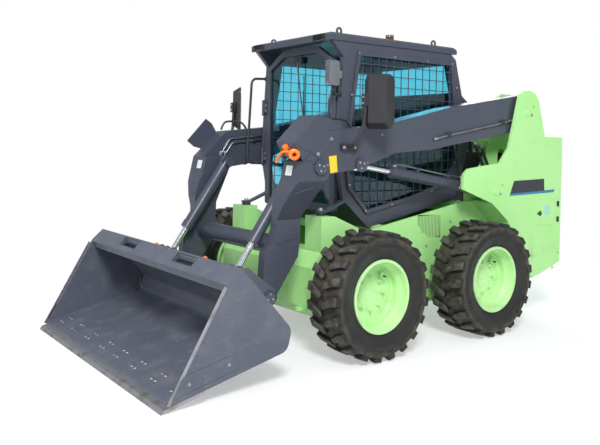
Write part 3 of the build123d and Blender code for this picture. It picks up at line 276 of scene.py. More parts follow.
def close_seams(piece, gap=0.00005):
    """Merge points that are nearer than a gap (0 merges none), then turn every face outwards."""
    edit(piece)
    if gap:
        bpy.ops.mesh.remove_doubles(threshold=gap)
    bpy.ops.mesh.normals_make_consistent(inside=False)
    bpy.ops.object.mode_set(mode="OBJECT")
    return piece


def settle(piece, body, finish, smooth=35):
    """Bake a piece's place, smooth it, give it a finish by name and let it ride on a body."""
    bake_place(piece)
    bpy.ops.object.shade_smooth_by_angle(angle=radians(smooth))
    piece.data.materials.clear()
    piece.data.materials.append(FINISHES[finish])
    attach(piece, body)
    return piece


def build(name, body, finish, pieces):
    """Join pieces under a name and settle them as one."""
    return settle(join(pieces, name), body, finish)


def turn_to(piece, axis):
    """Turn a piece that was made along Z so that it points along an axis."""
    piece.rotation_euler = Vector(axis).to_track_quat("Z", "Y").to_euler()
    return piece

# %% [markdown]
# Most small pieces on a machine are one of a few shapes: a block of plate with broken edges, a round
# bar, something turned on a lathe, a pipe, or a flat plate cut to an outline. Each helper starts
# from a primitive and shapes it.

# %% Plates, bars, turned pieces and pipes
def plate(low, high, bevel=0.002, segments=2):
    """A block between two corners whose edges are broken by a small bevel."""
    spans = list(zip(low, high))
    low, high = Vector([min(span) for span in spans]), Vector([max(span) for span in spans])
    deselect()
    bpy.ops.mesh.primitive_cube_add(size=1, location=(low + high) / 2, scale=high - low)
    piece = bake_place(bpy.context.object)
    return apply(piece, "BEVEL", width=bevel, segments=segments, limit_method="ANGLE")


def block(station, width, height, bevel=0.002, segments=2):
    """A plate from three spans: two stations, two widths and two heights."""
    return plate(at(station[0], width[0], height[0]), at(station[1], width[1], height[1]), bevel, segments)


def bar(start, end, radius, sides=24, bevel=0.001):
    """A round bar from one point to another, with broken ends."""
    start, end = Vector(start), Vector(end)
    deselect()
    bpy.ops.mesh.primitive_cylinder_add(vertices=sides, radius=radius, depth=(end - start).length,
                                        location=(start + end) / 2)
    piece = bake_place(turn_to(bpy.context.object, end - start))
    return apply(piece, "BEVEL", width=bevel, segments=1, limit_method="ANGLE", angle_limit=radians(60))


def lathe(section, place, axis, steps=32):
    """Turn a closed (radius, height) section around an axis: a cap, a washer, a fitting or a ring."""
    deselect()
    bpy.ops.mesh.primitive_circle_add(vertices=len(section), fill_type="NOTHING")
    piece = bpy.context.object
    for point, (radius, height) in zip(piece.data.vertices, section):
        point.co = (radius, 0, height)
    edit(piece)
    bpy.ops.mesh.spin(steps=steps, angle=2 * pi, center=(0, 0, 0), axis=(0, 0, 1))
    close_seams(piece)
    piece.location = place
    return bake_place(turn_to(piece, axis))


def button(radius, shoulder, top, height, base=0):
    """The section of a round button: straight up to its shoulder, then in to a flat top."""
    return [(0, base), (radius, base), (radius, shoulder), (top, height), (0, height)]


def pipe(points, radius, sides=8):
    """A bent pipe or hose along points: a smooth curve with a round bevel, made a mesh."""
    line = bpy.data.curves.new("pipe", "CURVE")
    line.dimensions = "3D"
    line.bevel_depth = radius
    line.bevel_resolution = sides // 2
    line.use_fill_caps = True
    line.resolution_u = 6
    spline = line.splines.new("NURBS")
    spline.points.add(len(points) - 1)
    for point, place in zip(spline.points, points):
        point.co = (*place, 1)
    spline.order_u = 3
    spline.use_endpoint_u = True
    pick(add_object("pipe", line))
    bpy.ops.object.convert(target="MESH")
    return close_seams(bpy.context.object)


def pipes(radius, sides, *runs):
    """Pipes on both sides of the machine, each run a list of (station, half-width, height)."""
    return both(lambda out: [pipe([at(station, out * width, height) for station, width, height in run],
                                  radius, sides) for run in runs])


def level_run(width, points):
    """A run of (station, height) points that stays this far out."""
    return [(station, width, height) for station, height in points]


def extruded(corners, move, draft=None, middle=None):
    """A flat face through corners, drawn out by a vector; draft makes the far end smaller."""
    deselect()
    bpy.ops.mesh.primitive_circle_add(vertices=len(corners), fill_type="NGON")
    piece = bpy.context.object
    for point, corner in zip(piece.data.vertices, corners):
        point.co = corner
    edit(piece)
    bpy.ops.mesh.extrude_region_move(TRANSFORM_OT_translate={"value": move})
    if draft:
        bpy.ops.transform.resize(value=draft, center_override=middle)
    return close_seams(piece, gap=0)


def outline_plate(outline, place, normal, up, thickness, bevel=0.001):
    """A flat plate from an outline of (across, up) points, raised along its normal."""
    normal, up = Vector(normal).normalized(), Vector(up).normalized()
    across = up.cross(normal)
    corners = [Vector(place) + across * x + up * y for x, y in outline]
    return apply(extruded(corners, normal * thickness), "BEVEL", width=bevel, segments=1, limit_method="ANGLE")


def rounded(width, height, corner, steps=4):
    """The outline of a rectangle with round corners, centred on the origin."""
    points = []
    for cx, cy, start in ((1, 1, 0), (-1, 1, 90), (-1, -1, 180), (1, -1, 270)):
        for i in range(steps + 1):
            turn = radians(start + 90 * i / steps)
            points.append((cx * (width / 2 - corner) + corner * cos(turn),
                           cy * (height / 2 - corner) + corner * sin(turn)))
    return points


print("tools ready")

# %% [markdown]
# A hexagon bolt on a washer is the machine's most common small part. It is modelled once, from a
# six-sided cylinder with broken corners on a turned washer, and `bolts` copies it to a list of places.

# %% A hexagon bolt and its copies
deselect()
bpy.ops.mesh.primitive_cylinder_add(vertices=6, radius=0.5, depth=0.42, location=(0, 0, 0.33))
hex_head = apply(bake_place(bpy.context.object), "BEVEL", width=0.05, segments=1, limit_method="ANGLE")
washer = lathe([(0, 0), (0.66, 0), (0.70, 0.04), (0.66, 0.12), (0, 0.12)], (0, 0, 0), (0, 0, 1), steps=14)
bolt_pattern = join([hex_head, washer], "bolt_pattern")


def bolts(name, body, finish, size, places):
    """Copies of the bolt, one for each (point, axis), as one piece."""
    copies = []
    for point, axis in places:
        copy = add_object(name, bolt_pattern.data.copy())
        copy.location, copy.scale = point, (size, size, size)
        copies.append(turn_to(copy, axis))
    return build(name, body, finish, copies)


print("bolt:", len(bolt_pattern.data.polygons), "faces")

# %% [markdown]
# Every finish reads Object coordinates, so its pattern stays on the piece when it moves. The class
# adds what finishes share: a noise, a remapping of it, a mix of two colours, and a bump.

# %% What all finishes share
FINISHES = {}                         # by name; the frame has materials of its own, some of the same name


class Finish:
    """A material being built, with its tree and its Object coordinates."""

    def __init__(self, name, colour, roughness, metallic=0.0):
        material = bpy.data.materials.new(name)
        material.use_nodes = True
        FINISHES[name] = material
        self.tree = material.node_tree
        self.place = self.node("TexCoord", out="Object")
        self.shade({"Base Color": colour, "Roughness": roughness, "Metallic": metallic})

    def node(self, kind, inputs=None, out=0, **settings):
        """Add a node to this material."""
        return add_node(self.tree, kind, inputs, out, **settings)

    def shade(self, inputs):
        """Feed inputs of the main shader."""
        feed(self.tree, self.tree.nodes["Principled BSDF"], inputs)

    def noise(self, scale, detail, stretch=(1, 1, 1)):
        """A cloudy pattern, which can be stretched along an axis."""
        place = self.node("Mapping", {"Vector": self.place, "Scale": stretch})
        return self.node("TexNoise", {"Vector": place, "Scale": scale, "Detail": detail})

    def remap(self, value, low, high, to_low=0.0, to_high=1.0):
        return self.node("MapRange", {"Value": value, "From Min": low, "From Max": high,
                                      "To Min": to_low, "To Max": to_high})

    def cloud(self, scale, detail, low, high, to_low=0.0, to_high=1.0, stretch=(1, 1, 1)):
        """A noise whose values between low and high are remapped."""
        return self.remap(self.noise(scale, detail, stretch), low, high, to_low, to_high)

    def times(self, first, second):
        return self.node("Math", {0: first, 1: second}, operation="MULTIPLY")

    def mix(self, factor, first, second):
        """Two colours, mixed; numbers 6 and 7 are the Mix node's colour inputs and 2 its colour."""
        return self.node("Mix", {0: factor, 6: first, 7: second}, 2, data_type="RGBA")

    def bump(self, value, strength, depth):
        self.shade({"Normal": self.node("Bump", {"Height": value, "Strength": strength, "Distance": depth})})

# %% [markdown]
# Sprayed paint on a working machine is never one flat colour. A broad noise fades it slightly, dust
# gathers towards the ground in blotches, and fine stretched noise makes hairline scuffs that are
# thresholded so that only a few remain. A very fine noise drives the bump: the skin of the paint.

# %% Painted steel
SOIL = (0.23, 0.19, 0.14)
DUSTIEST, LEAST_DUST = 0.15, 0.12     # full dust up to this height, and the share left at the dust's top


def paint(name, colour, faded, dust, dust_top, dust_amount, scuff, scuff_amount, gloss):
    """Paint with fading, dust that thins out up to a height, and scuffs; gloss is (low, high) roughness."""
    finish = Finish(name, colour, gloss[0])
    body = finish.mix(finish.cloud(2.3, 3.0, 0.35, 0.65), colour, faded)
    height = finish.node("SeparateXYZ", {"Vector": finish.place}, "Z")
    low_down = finish.remap(height, dust_top, DUSTIEST, LEAST_DUST, 1.0)
    dusty = finish.times(finish.cloud(9.0, 9.0, 0.50, 0.74, 0.0, dust_amount), low_down)
    scratches = finish.cloud(26.0, 7.0, 0.665, 0.70, 0.0, scuff_amount, stretch=(1.0, 1.0, 9.0))
    finish.shade({
        "Base Color": finish.mix(scratches, finish.mix(dusty, body, dust), scuff),
        "Roughness": most(finish.tree, finish.cloud(5.0, 5.0, 0.3, 0.7, *gloss),
                          finish.remap(dusty, 0.0, 1.0, 0.0, 0.8)),
    })
    finish.bump(finish.noise(420.0, 2.0), 0.10, 0.0006)


for row in [
    ("body_green", (0.43, 0.87, 0.29), (0.47, 0.88, 0.34), SOIL, 0.75, 0.35,
     (0.62, 0.90, 0.52), 0.25, (0.30, 0.44)),
    ("rim_green", (0.55, 0.88, 0.40), (0.50, 0.84, 0.36), SOIL, 0.62, 0.45,
     (0.30, 0.42, 0.24), 0.5, (0.30, 0.46)),
    ("dark_paint", (0.055, 0.063, 0.090), (0.064, 0.072, 0.100), (0.20, 0.19, 0.17), 1.0, 0.16,
     (0.20, 0.21, 0.25), 0.30, (0.30, 0.46)),
    ("bucket_paint", (0.088, 0.100, 0.135), (0.104, 0.116, 0.150), (0.27, 0.25, 0.22), 0.95, 0.30,
     (0.30, 0.31, 0.35), 0.55, (0.33, 0.52)),
    ("handle_black", (0.030, 0.031, 0.036), (0.036, 0.037, 0.042), (0.12, 0.11, 0.10), 0.9, 0.12,
     (0.10, 0.10, 0.11), 0.3, (0.28, 0.40)),
    ("cast_grey", (0.085, 0.085, 0.090), (0.11, 0.11, 0.11), SOIL, 0.8, 0.6,
     (0.24, 0.23, 0.22), 0.4, (0.50, 0.70)),
    ("lever_orange", (0.90, 0.19, 0.02), (0.95, 0.24, 0.03), SOIL, 0.5, 0.2,
     (0.98, 0.50, 0.25), 0.3, (0.30, 0.42)),
]:
    paint(*row)
print("paints ready")

# %% [markdown]
# Bare metals are made by their roughness more than by their colour. Chromed rods are mirror smooth
# with faint wipe marks along them. The cutting edge is ground steel: streaks that run front to back,
# brown stains, and a rougher skin where stone has scraped it.

# %% Metals
def metal(name, colour, stain, stain_amount, streak, gloss, bump):
    """Bare metal with stains and streaks; streak stretches the grain along one axis."""
    finish = Finish(name, colour, gloss[0], metallic=1.0)
    grain = finish.noise(70.0, 5.0, streak)
    finish.shade({"Base Color": finish.mix(finish.cloud(11.0, 8.0, 0.52, 0.70, 0.0, stain_amount), colour, stain),
                  "Roughness": finish.remap(grain, 0.3, 0.7, *gloss)})
    finish.bump(grain, bump, 0.0006)


for row in [
    ("chrome", (0.86, 0.87, 0.90), (0.60, 0.60, 0.62), 0.25, (1, 8, 1), (0.05, 0.14), 0.03),
    ("zinc", (0.62, 0.63, 0.66), (0.36, 0.33, 0.28), 0.6, (1, 1, 1), (0.28, 0.46), 0.15),
    ("line_steel", (0.30, 0.31, 0.34), (0.16, 0.15, 0.14), 0.5, (1, 1, 1), (0.32, 0.48), 0.10),
    ("edge_steel", (0.42, 0.42, 0.44), (0.24, 0.17, 0.11), 0.75, (0.3, 4.0, 1.0), (0.30, 0.58), 0.5),
    ("mirror_glass", (0.80, 0.84, 0.88), (0.6, 0.6, 0.6), 0.05, (1, 1, 1), (0.01, 0.04), 0.0),
]:
    metal(*row)
print("metals ready")

# %% [markdown]
# Tyre rubber is nearly black where it is clean, grey-brown where dust sits in the grooves, and paler
# on the faces of the lugs that scuff the ground. The tyre's mesh carries a point attribute that says
# how exposed each point is, so the wear follows the lugs on all four wheels with one material.

# %% Rubber and plastics
RUBBER = (0.014, 0.015, 0.013)


def moulded(name, colour, paler, grain, gloss, bump):
    """Moulded rubber or plastic with a fine grain and faint handling marks."""
    finish = Finish(name, colour, gloss[0])
    finish.shade({"Base Color": finish.mix(finish.cloud(7.0, 6.0, 0.45, 0.72, 0.0, 0.6), colour, paler),
                  "Roughness": finish.cloud(18.0, 5.0, 0.3, 0.7, *gloss)})
    finish.bump(finish.noise(grain, 3.0), bump, 0.0008)


rubber = Finish("tyre_rubber", RUBBER, 0.6)
exposed = rubber.node("Attribute", out="Fac", attribute_name="exposed")
dirt = rubber.times(rubber.remap(exposed, 0.30, 0.02), rubber.cloud(16.0, 9.0, 0.36, 0.62, 0.1, 0.85))
scuffed = rubber.times(rubber.remap(exposed, 0.80, 1.0), rubber.cloud(24.0, 8.0, 0.40, 0.66, 0.15, 0.75))
body = rubber.mix(scuffed, rubber.mix(dirt, RUBBER, (0.080, 0.068, 0.045)), (0.150, 0.138, 0.120))
dust = rubber.cloud(6.0, 9.0, 0.50, 0.74, 0.0, 0.28)
rubber.shade({"Base Color": rubber.mix(dust, body, (0.060, 0.056, 0.044)),
              "Roughness": rubber.cloud(12.0, 6.0, 0.3, 0.7, 0.46, 0.80)})
rubber.bump(rubber.noise(160.0, 7.0), 0.30, 0.002)

for row in [
    ("hose_rubber", (0.014, 0.014, 0.016), (0.05, 0.05, 0.05), 300.0, (0.38, 0.55), 0.2),
    ("black_plastic", (0.022, 0.022, 0.026), (0.045, 0.045, 0.050), 600.0, (0.36, 0.52), 0.25),
    ("grey_plastic", (0.16, 0.17, 0.19), (0.22, 0.23, 0.25), 600.0, (0.38, 0.50), 0.2),
    ("tie_white", (0.70, 0.70, 0.66), (0.55, 0.54, 0.50), 500.0, (0.40, 0.55), 0.1),
    ("plate_white", (0.78, 0.80, 0.82), (0.68, 0.70, 0.72), 200.0, (0.28, 0.40), 0.05),
    ("plate_yellow", (0.88, 0.62, 0.03), (0.80, 0.56, 0.05), 200.0, (0.28, 0.40), 0.05),
    ("plate_blue", (0.02, 0.22, 0.42), (0.03, 0.27, 0.48), 200.0, (0.24, 0.36), 0.05),
    ("plate_pale_blue", (0.36, 0.72, 0.58), (0.40, 0.76, 0.62), 200.0, (0.28, 0.40), 0.05),
    # plate_dark is the dark field of the name plates, and also the painted shade behind the tub's vent slats.
    ("plate_dark", (0.015, 0.020, 0.030), (0.03, 0.035, 0.045), 200.0, (0.22, 0.35), 0.05),
]:
    moulded(*row)
print("rubber and plastics ready")

# %% [markdown]
# The windows are tinted safety glass. The tint is set by the transmission colour of the pane, and a
# little dust raises the roughness in patches, so the panes don't look like empty air. Lamp lenses
# are the same glass without the tint but with fine ribs in the bump, as moulded lenses have. Cloth
# is two crossed wave patterns, and a radiator's core is one: fine upright fins with dust on them.

# %% Glass, lenses, fabric and fins
def pane(name, colour, dusty_roughness, ribs=False):
    """Clear or tinted glass with faint dust, and ribs where it is a lens."""
    finish = Finish(name, colour, 0.02)
    dusty = tuple(0.6 * channel + 0.25 for channel in colour)
    finish.shade({"Transmission Weight": 1.0, "IOR": 1.45,
                  "Base Color": finish.mix(finish.cloud(3.0, 6.0, 0.42, 0.70, 0.0, 0.35), colour, dusty),
                  "Roughness": finish.cloud(5.0, 8.0, 0.50, 0.72, 0.01, dusty_roughness)})
    if ribs:
        finish.bump(finish.noise(60.0, 1.0, (1, 1, 0.2)), 0.6, 0.002)


def waves(finish, direction, scale):
    """Straight bands across one direction."""
    return finish.node("TexWave", {"Scale": scale, "Vector": finish.place}, "Fac", bands_direction=direction)


pane("window_glass", (0.28, 0.76, 0.88), 0.10)
pane("lens_clear", (0.90, 0.93, 0.95), 0.12, ribs=True)
pane("lens_red", (0.80, 0.03, 0.02), 0.15, ribs=True)
pane("lens_amber", (0.95, 0.33, 0.02), 0.12, ribs=True)

cloth = Finish("seat_cloth", (0.035, 0.036, 0.042), 0.85)
weave = cloth.times(waves(cloth, "X", 190.0), waves(cloth, "Z", 190.0))
cloth.shade({"Sheen Weight": 0.35, "Base Color": cloth.mix(weave, (0.026, 0.027, 0.032), (0.075, 0.076, 0.085))})
cloth.bump(weave, 0.35, 0.001)

core = Finish("radiator_fins", (0.05, 0.05, 0.052), 0.5, metallic=0.4)
fins = waves(core, "Y", 55.0)
core.shade({"Base Color": core.mix(fins, (0.02, 0.02, 0.022), (0.12, 0.115, 0.11)),
            "Roughness": core.cloud(14.0, 6.0, 0.3, 0.7, 0.45, 0.75)})
core.bump(fins, 0.8, 0.002)

# The finishes that stand in each of the record's material slots. The frame's nodes take the first.
FINISHES_IN_SLOT = {
    "tyre_rubber": ["tyre_rubber"], "rim_paint": ["rim_green"], "body_green": ["body_green", "plate_pale_blue"],
    "dark_paint": ["dark_paint", "plate_dark"], "bucket_grey": ["bucket_paint"], "cast_grey": ["cast_grey"],
    "radiator_black": ["radiator_fins"], "black_plastic": ["black_plastic", "hose_rubber"],
    "tinted_glass": ["window_glass", "mirror_glass", "lens_clear", "lens_red", "lens_amber", "plate_blue"],
    "seat_cover": ["seat_cloth"], "black_steel": ["handle_black"], "chrome_rod": ["chrome"],
    "lamp_plastic": ["grey_plastic", "lever_orange", "plate_yellow", "plate_white", "tie_white"],
    "bare_steel": ["line_steel", "zinc"], "worn_steel": ["edge_steel"],
}
for part in frame["record"]["subparts"]:
    node = nodes[part["node"]]
    node.data.materials.clear()
    node.data.materials.append(FINISHES[FINISHES_IN_SLOT[part["material_slot"]][0]])
print("finishes:", len(FINISHES), "for", len(nodes), "nodes")

# %% [markdown]
# No sheet metal has a knife-sharp edge. Two modifiers on the large painted nodes join their doubled
# points and round their edges by two millimetres, so that edges catch the light.

# %% Broken edges on the painted sheets
BROKEN_EDGES, DOUBLED = 0.0022, 0.00002
ROUNDED_NODES = ["left_tower", "right_tower", "left_arm", "right_arm", "knee_hood", "cab_sides", "cab_roof",
                 "bucket", "rear_door", "engine_hood", "coupler"]
for name in ROUNDED_NODES:
    weld = nodes[name].modifiers.new("weld", "WELD")
    weld.merge_threshold = DOUBLED
    rounding = nodes[name].modifiers.new("rounding", "BEVEL")
    rounding.width = BROKEN_EDGES
    rounding.segments = 2
    rounding.limit_method = "ANGLE"
    rounding.angle_limit = radians(40)
    rounding.harden_normals = True
print("rounded edges on", len(ROUNDED_NODES), "nodes")

# %% [markdown]
# ## Tyres
# The tyre is a doughnut with a flat tread. Its section could be drawn as a curve and swept, but a
# spin is how a mould is cut, so we spin the section around the axle. The lugs are not spun: one lug
# is modelled flat, as if the tread were unrolled, then wrapped round the carcass by a formula.

# %% Tyre sizes, read from the frame
tyre_low, tyre_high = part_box("front_left_tyre")
rim_low, rim_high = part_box("front_left_rim")
TYRE_R, TYRE_HALF = (tyre_high.z - tyre_low.z) / 2, (tyre_high.y - tyre_low.y) / 2
RIM_FLANGE_R = (rim_high.z - rim_low.z) / 2
BEAD_R, BEAD_HALF = RIM_FLANGE_R - 0.0065, (rim_high.y - rim_low.y) / 2 - 0.015
LUG_HEIGHT = 0.026
CARCASS_R = TYRE_R - LUG_HEIGHT
RIDGE_R = CARCASS_R - 0.010
LUGS = 21                             # on each side of the tread
print("tyre:", round(2 * TYRE_R, 3), "m over the lugs,", round(2 * TYRE_HALF, 3), "m wide")

# %% [markdown]
# The section runs from the bead, out over the sidewall with its moulded rings, over the ridge where
# the tread begins, and across to the other side. It is closed inside the carcass, so that the spun
# mesh is one closed skin.

# %% Carcass by spinning the section
CARCASS_STEPS = 126
outer_half = [(BEAD_R + r, BEAD_HALF + w) for r, w in ((0, 0), (0.010, 0.008), (0.017, 0.007))]
outer_half += [(BEAD_R + r, TYRE_HALF - w) for r, w in (
    (0.030, 0.018), (0.052, 0.009), (0.072, 0.006), (0.076, 0.003), (0.084, 0.003), (0.088, 0.006))]
outer_half += [(RIDGE_R + r, TYRE_HALF - w) for r, w in (
    (-0.016, 0.008), (-0.008, 0.0015), (0, 0), (0.004, 0.006), (0.007, 0.020), (0.010, 0.050))]
outer_half.append((CARCASS_R + 0.001, 0.030))
section = outer_half + [(r, -w) for r, w in reversed(outer_half)]
carcass = lathe(section, (0, 0, 0), (0, 0, 1), steps=CARCASS_STEPS)
print("carcass:", len(carcass.data.polygons), "faces")

# %% [markdown]
# One lug is drawn as an outline: a straight bar at the shoulder that bends towards the middle and
# ends in a rounded head, because a square head would tear. It is extruded up, its top is drawn in a
# little so the sides have draft, as anything pulled from a mould has, and its edges are broken.

# %% One lug, flat
LUG_FOOT = 0.014                      # how far a lug's foot is sunk into the carcass
LUG_DRAFT = (0.88, 0.965, 1)
lug_outline = [(-0.046, TYRE_HALF - 0.0015), (0.014, TYRE_HALF - 0.0015), (0.019, 0.102), (0.027, 0.076),
               (0.040, 0.044), (0.050, 0.024), (0.049, 0.013), (0.040, 0.006), (0.026, 0.005), (0.012, 0.010),
               (-0.002, 0.032), (-0.020, 0.062), (-0.033, 0.084), (-0.042, 0.108)]
lug = extruded([(around, across, 0) for around, across in lug_outline], (0, 0, LUG_HEIGHT + LUG_FOOT),
               LUG_DRAFT, (0, TYRE_HALF / 2 + 0.004, LUG_HEIGHT))
apply(lug, "BEVEL", width=0.003, segments=2, limit_method="ANGLE", angle_limit=radians(40))
apply(lug, "TRIANGULATE")
print("lug:", len(lug.data.polygons), "faces")

# %% [markdown]
# Wrapping the lug is a change of coordinates: the flat distance around becomes an angle, and the
# height becomes a radius. The shoulder end also drops with the ridge. Each lug is a copy of the
# first with its own mesh. The attribute `exposed` is 1 on the lugs' faces and 0 down in the grooves.

# %% Wrap and repeat the lugs
SHOULDER_START = 0.085                # where the tread begins to drop towards the ridge


def wrapped_lug(turn, side):
    """A copy of the flat lug bent round the axle at an angle, on one side of the tread."""
    copy = add_object("lug", lug.data.copy())
    for point in copy.data.vertices:
        around, across, height = point.co
        shoulder = max(0.0, (across - SHOULDER_START) / (TYRE_HALF - SHOULDER_START))
        drop = 0.004 * shoulder ** 2 + 0.010 * shoulder * (height < 0.006)
        radius = CARCASS_R - LUG_FOOT + height - drop
        angle = turn + around / TYRE_R
        point.co = (radius * sin(angle), side * across, radius * cos(angle))
    return copy


carcass.rotation_euler = (radians(90), 0, 0)       # the lathe spins about Z, the axle lies along Y
bake_place(carcass)
lugs = [wrapped_lug(2 * pi * (i + start) / LUGS, side) for side, start in ((1, 0.25), (-1, 0.75))
        for i in range(LUGS)]
tyre_pattern = close_seams(join([carcass] + lugs, "tyre_pattern"), gap=0)
exposed = tyre_pattern.data.attributes.new("exposed", "FLOAT", "POINT")
for point, value in zip(tyre_pattern.data.vertices, exposed.data):
    radius = hypot(point.co.x, point.co.z)
    value.value = 0.5
    if radius > RIDGE_R - 0.03:
        value.value = max(0.0, min(1.0, (radius - CARCASS_R - 0.002) / (LUG_HEIGHT - 0.006)))
bpy.data.objects.remove(lug)
print("tyre:", len(tyre_pattern.data.polygons), "faces")

# %% [markdown]
# The same tyre goes on all four wheels. On the right it is turned round with its wheel, so its lugs
# lean the other way there.

# %% Four tyres
WHEELS = [(f"{end}_{side}", out, hinge_at[f"{end}_{side}_wheel_spin"])
          for end in ("front", "rear") for side, out in zip(("left", "right"), SIDES)]
for wheel, out, centre in WHEELS:
    tyre = add_object(f"{wheel}_lugged_tyre", tyre_pattern.data.copy())
    tyre.location = centre
    if out < 0:
        tyre.rotation_euler = (0, 0, pi)
    settle(tyre, f"{wheel}_wheel", "tyre_rubber", smooth=38)
    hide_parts(f"{wheel}_tyre")
bpy.data.objects.remove(tyre_pattern)
print("tyres on", len(WHEELS), "wheels")

# %% [markdown]
# ## Wheels
# The pressed rims come from the frame. What makes them look built is small: a weld bead where the
# disc meets the barrel, a washer and a threaded end on every stud, a rolled lip, and the valve with
# the bracket that guards it.

# %% Rim details
DISC_OUT = -0.006                     # the disc's outer face, from the wheel's middle
STUD_CIRCLE, STUDS = 0.101, 8
VALVE_LEAN = radians(40)


def ring(major, minor, place, axis, steps=72):
    """A ring of round section, as a weld bead or a rolled lip."""
    deselect()
    bpy.ops.mesh.primitive_torus_add(major_radius=major, minor_radius=minor, major_segments=steps,
                                     minor_segments=8)
    piece = turn_to(bpy.context.object, axis)
    piece.location = place
    return bake_place(piece)


for wheel, out, centre in WHEELS:
    body = f"{wheel}_wheel"
    outward = Vector((0, out, 0))
    face = centre + outward * DISC_OUT
    build(f"{wheel}_rim_lip", body, "rim_green", [
        ring(RIM_FLANGE_R - 0.008, 0.0045, centre + outward * (BEAD_HALF + 0.0115), outward, 96),
        ring(0.1725, 0.005, face + outward * 0.006, outward),
        ring(0.1955, 0.003, centre + outward * 0.070, outward),
    ])
    ends = []
    for i in range(STUDS):
        turn = 2 * pi * i / STUDS
        foot = face + Vector((STUD_CIRCLE * sin(turn), 0, STUD_CIRCLE * cos(turn)))
        ends.append(lathe(button(0.0165, 0.003, 0.0125, 0.005), foot, outward, 16))
        ends.append(lathe(button(0.0062, 0.024, 0.0048, 0.026, base=0.015), foot, outward, 10))
    build(f"{wheel}_stud_ends", body, "rim_green", ends)
    radial = Vector((-out * sin(VALVE_LEAN), 0, cos(VALVE_LEAN)))
    guard = face + radial * 0.135
    build(f"{wheel}_valve_guard", body, "rim_green", [
        outline_plate(rounded(0.050, 0.030, 0.006), guard + outward * 0.024, outward, radial, 0.004),
        outline_plate(rounded(0.050, 0.026, 0.004), guard + radial * 0.013 + outward * 0.013, radial, outward,
                      0.004),
    ])
    stem = guard - radial * 0.002
    build(f"{wheel}_valve", body, "black_plastic", [
        bar(stem, stem + outward * 0.040, 0.0045, 12),
        lathe(button(0.006, 0.012, 0.004, 0.014), stem + outward * 0.038, outward, 12),
    ])
print("rim details on", len(WHEELS), "wheels")

# %% [markdown]
# ## Boom
# Flat details are easiest to say in side view, as (distance ahead of the rear axle, height) points.
# `side_plate` lays such an outline on an upright plane on the left or the right of the machine, and
# `side_plates` lays outlines on both sides.

# %% Plates in side view
ARM_OUTER, TOWER_OUTER, TUB_SIDE = 0.645, 0.690, 0.509   # half-widths of the planes that plates lie on


def side_plate(points, out, width, thickness, bevel=0.001):
    """A plate from (station, height) points on the outer side of a plane at this width."""
    return outline_plate([(-out * s, z) for s, z in points], at(0, out * width, 0), (0, out, 0), (0, 0, 1),
                         thickness, bevel)


def side_plates(width, thickness, bevel, *outlines):
    """Plates from outlines, on both sides of the machine."""
    return both(lambda out: [side_plate(points, out, width, thickness, bevel) for points in outlines])


def box_outline(station, height):
    """The outline of an upright rectangle between two stations and two heights."""
    return [(station[0], height[0]), (station[1], height[0]), (station[1], height[1]), (station[0], height[1])]


# %% [markdown]
# Every pin in the arm is held by a dished cap with three bright screws. The cap is a turned ring
# around the flat end of the pin, and the screws sit on a circle inside it.

# %% Pin caps on the arms and the bucket ears
ARM_PINS = ((1.034, 1.157), (1.355, 1.143))        # the lift cylinder's eye and the tilt cylinder's base
BUCKET_PIN = (1.630, 0.386)
CAP_OUT, EAR_FACE, SCREW_CIRCLE = 0.010, 0.548, 0.021
DISH = [(0.031, -0.008), (0.044, -0.008), (0.046, -0.002), (0.044, 0.003), (0.036, 0.004), (0.031, 0.0005)]


def pin_caps(width, pins, first_turn):
    """A cap over each pin on both sides, and three screws inside every cap."""
    centres = both(lambda out: [(at(station, out * width, height), (0, out, 0)) for station, height in pins])
    turns = [radians(first_turn + 120 * i) for i in range(3)]
    screws = [(centre + Vector((SCREW_CIRCLE * cos(turn), 0, SCREW_CIRCLE * sin(turn))), outward)
              for centre, outward in centres for turn in turns]
    return [lathe(DISH, centre, outward, 40) for centre, outward in centres], screws


caps, screws = pin_caps(ARM_OUTER + CAP_OUT, ARM_PINS, 40)
screws += screws_on(ARM_OUTER, [(station - 0.052, height + 0.012) for station, height in ARM_PINS])
build("arm_pin_caps", "boom", "dark_paint", caps)
bolts("arm_pin_screws", "boom", "zinc", 0.011, screws)
bolts("arm_grease_nipples", "boom", "zinc", 0.009, screws_on(ARM_OUTER, [(0.860, 1.345)]))
caps, screws = pin_caps(EAR_FACE, [BUCKET_PIN], 90)
build("bucket_pin_caps", "bucket", "dark_paint", caps)
bolts("bucket_pin_screws", "bucket", "zinc", 0.011, screws)
print("pin caps on the arms and the bucket")

# %% [markdown]
# The knee carries a bolted side plate over the hood's end, a bracket with two bolts for the mirror,
# a bent hand bar on top and two blank label plates. The legs have a weld bead where the outer sheet
# bends inwards.

# %% Knee and legs
HOOD_END = [(1.538, 1.288), (1.384, 1.451), (1.333, 1.417), (1.258, 1.298), (1.367, 1.192), (1.429, 1.233),
            (1.482, 1.245)]
build("knee_hood_side_plates", "boom", "dark_paint", side_plates(ARM_OUTER, 0.004, 0.0015, HOOD_END))
build("arm_weld_beads", "boom", "dark_paint",
      pipes(0.0045, 6, [(1.515, 0.603, 0.985), (1.470, 0.612, 1.005), (1.395, 0.622, 1.020)])
      + pipes(0.0035, 6, [(1.592, 0.5215, 0.730)] + level_run(0.5205, [
          (1.590, 0.700), (1.560, 0.690), (1.500, 0.712), (1.429, 0.716)]))
      + pipes(0.003, 6, level_run(ARM_OUTER + 0.001, [(1.480, 1.170), (1.440, 1.200), (1.400, 1.160)])))
build("knee_hand_bars", "boom", "handle_black", pipes(0.0075, 8, level_run(0.585, [
    (1.290, 1.372), (1.272, 1.425), (1.225, 1.436), (1.150, 1.436), (1.095, 1.425), (1.070, 1.382)])))
build("knee_side_plates", "boom", "plate_yellow", side_plates(ARM_OUTER, 0.0012, 0.0004, [
    (1.292, 1.208), (1.233, 1.215), (1.223, 1.116), (1.278, 1.108)]))
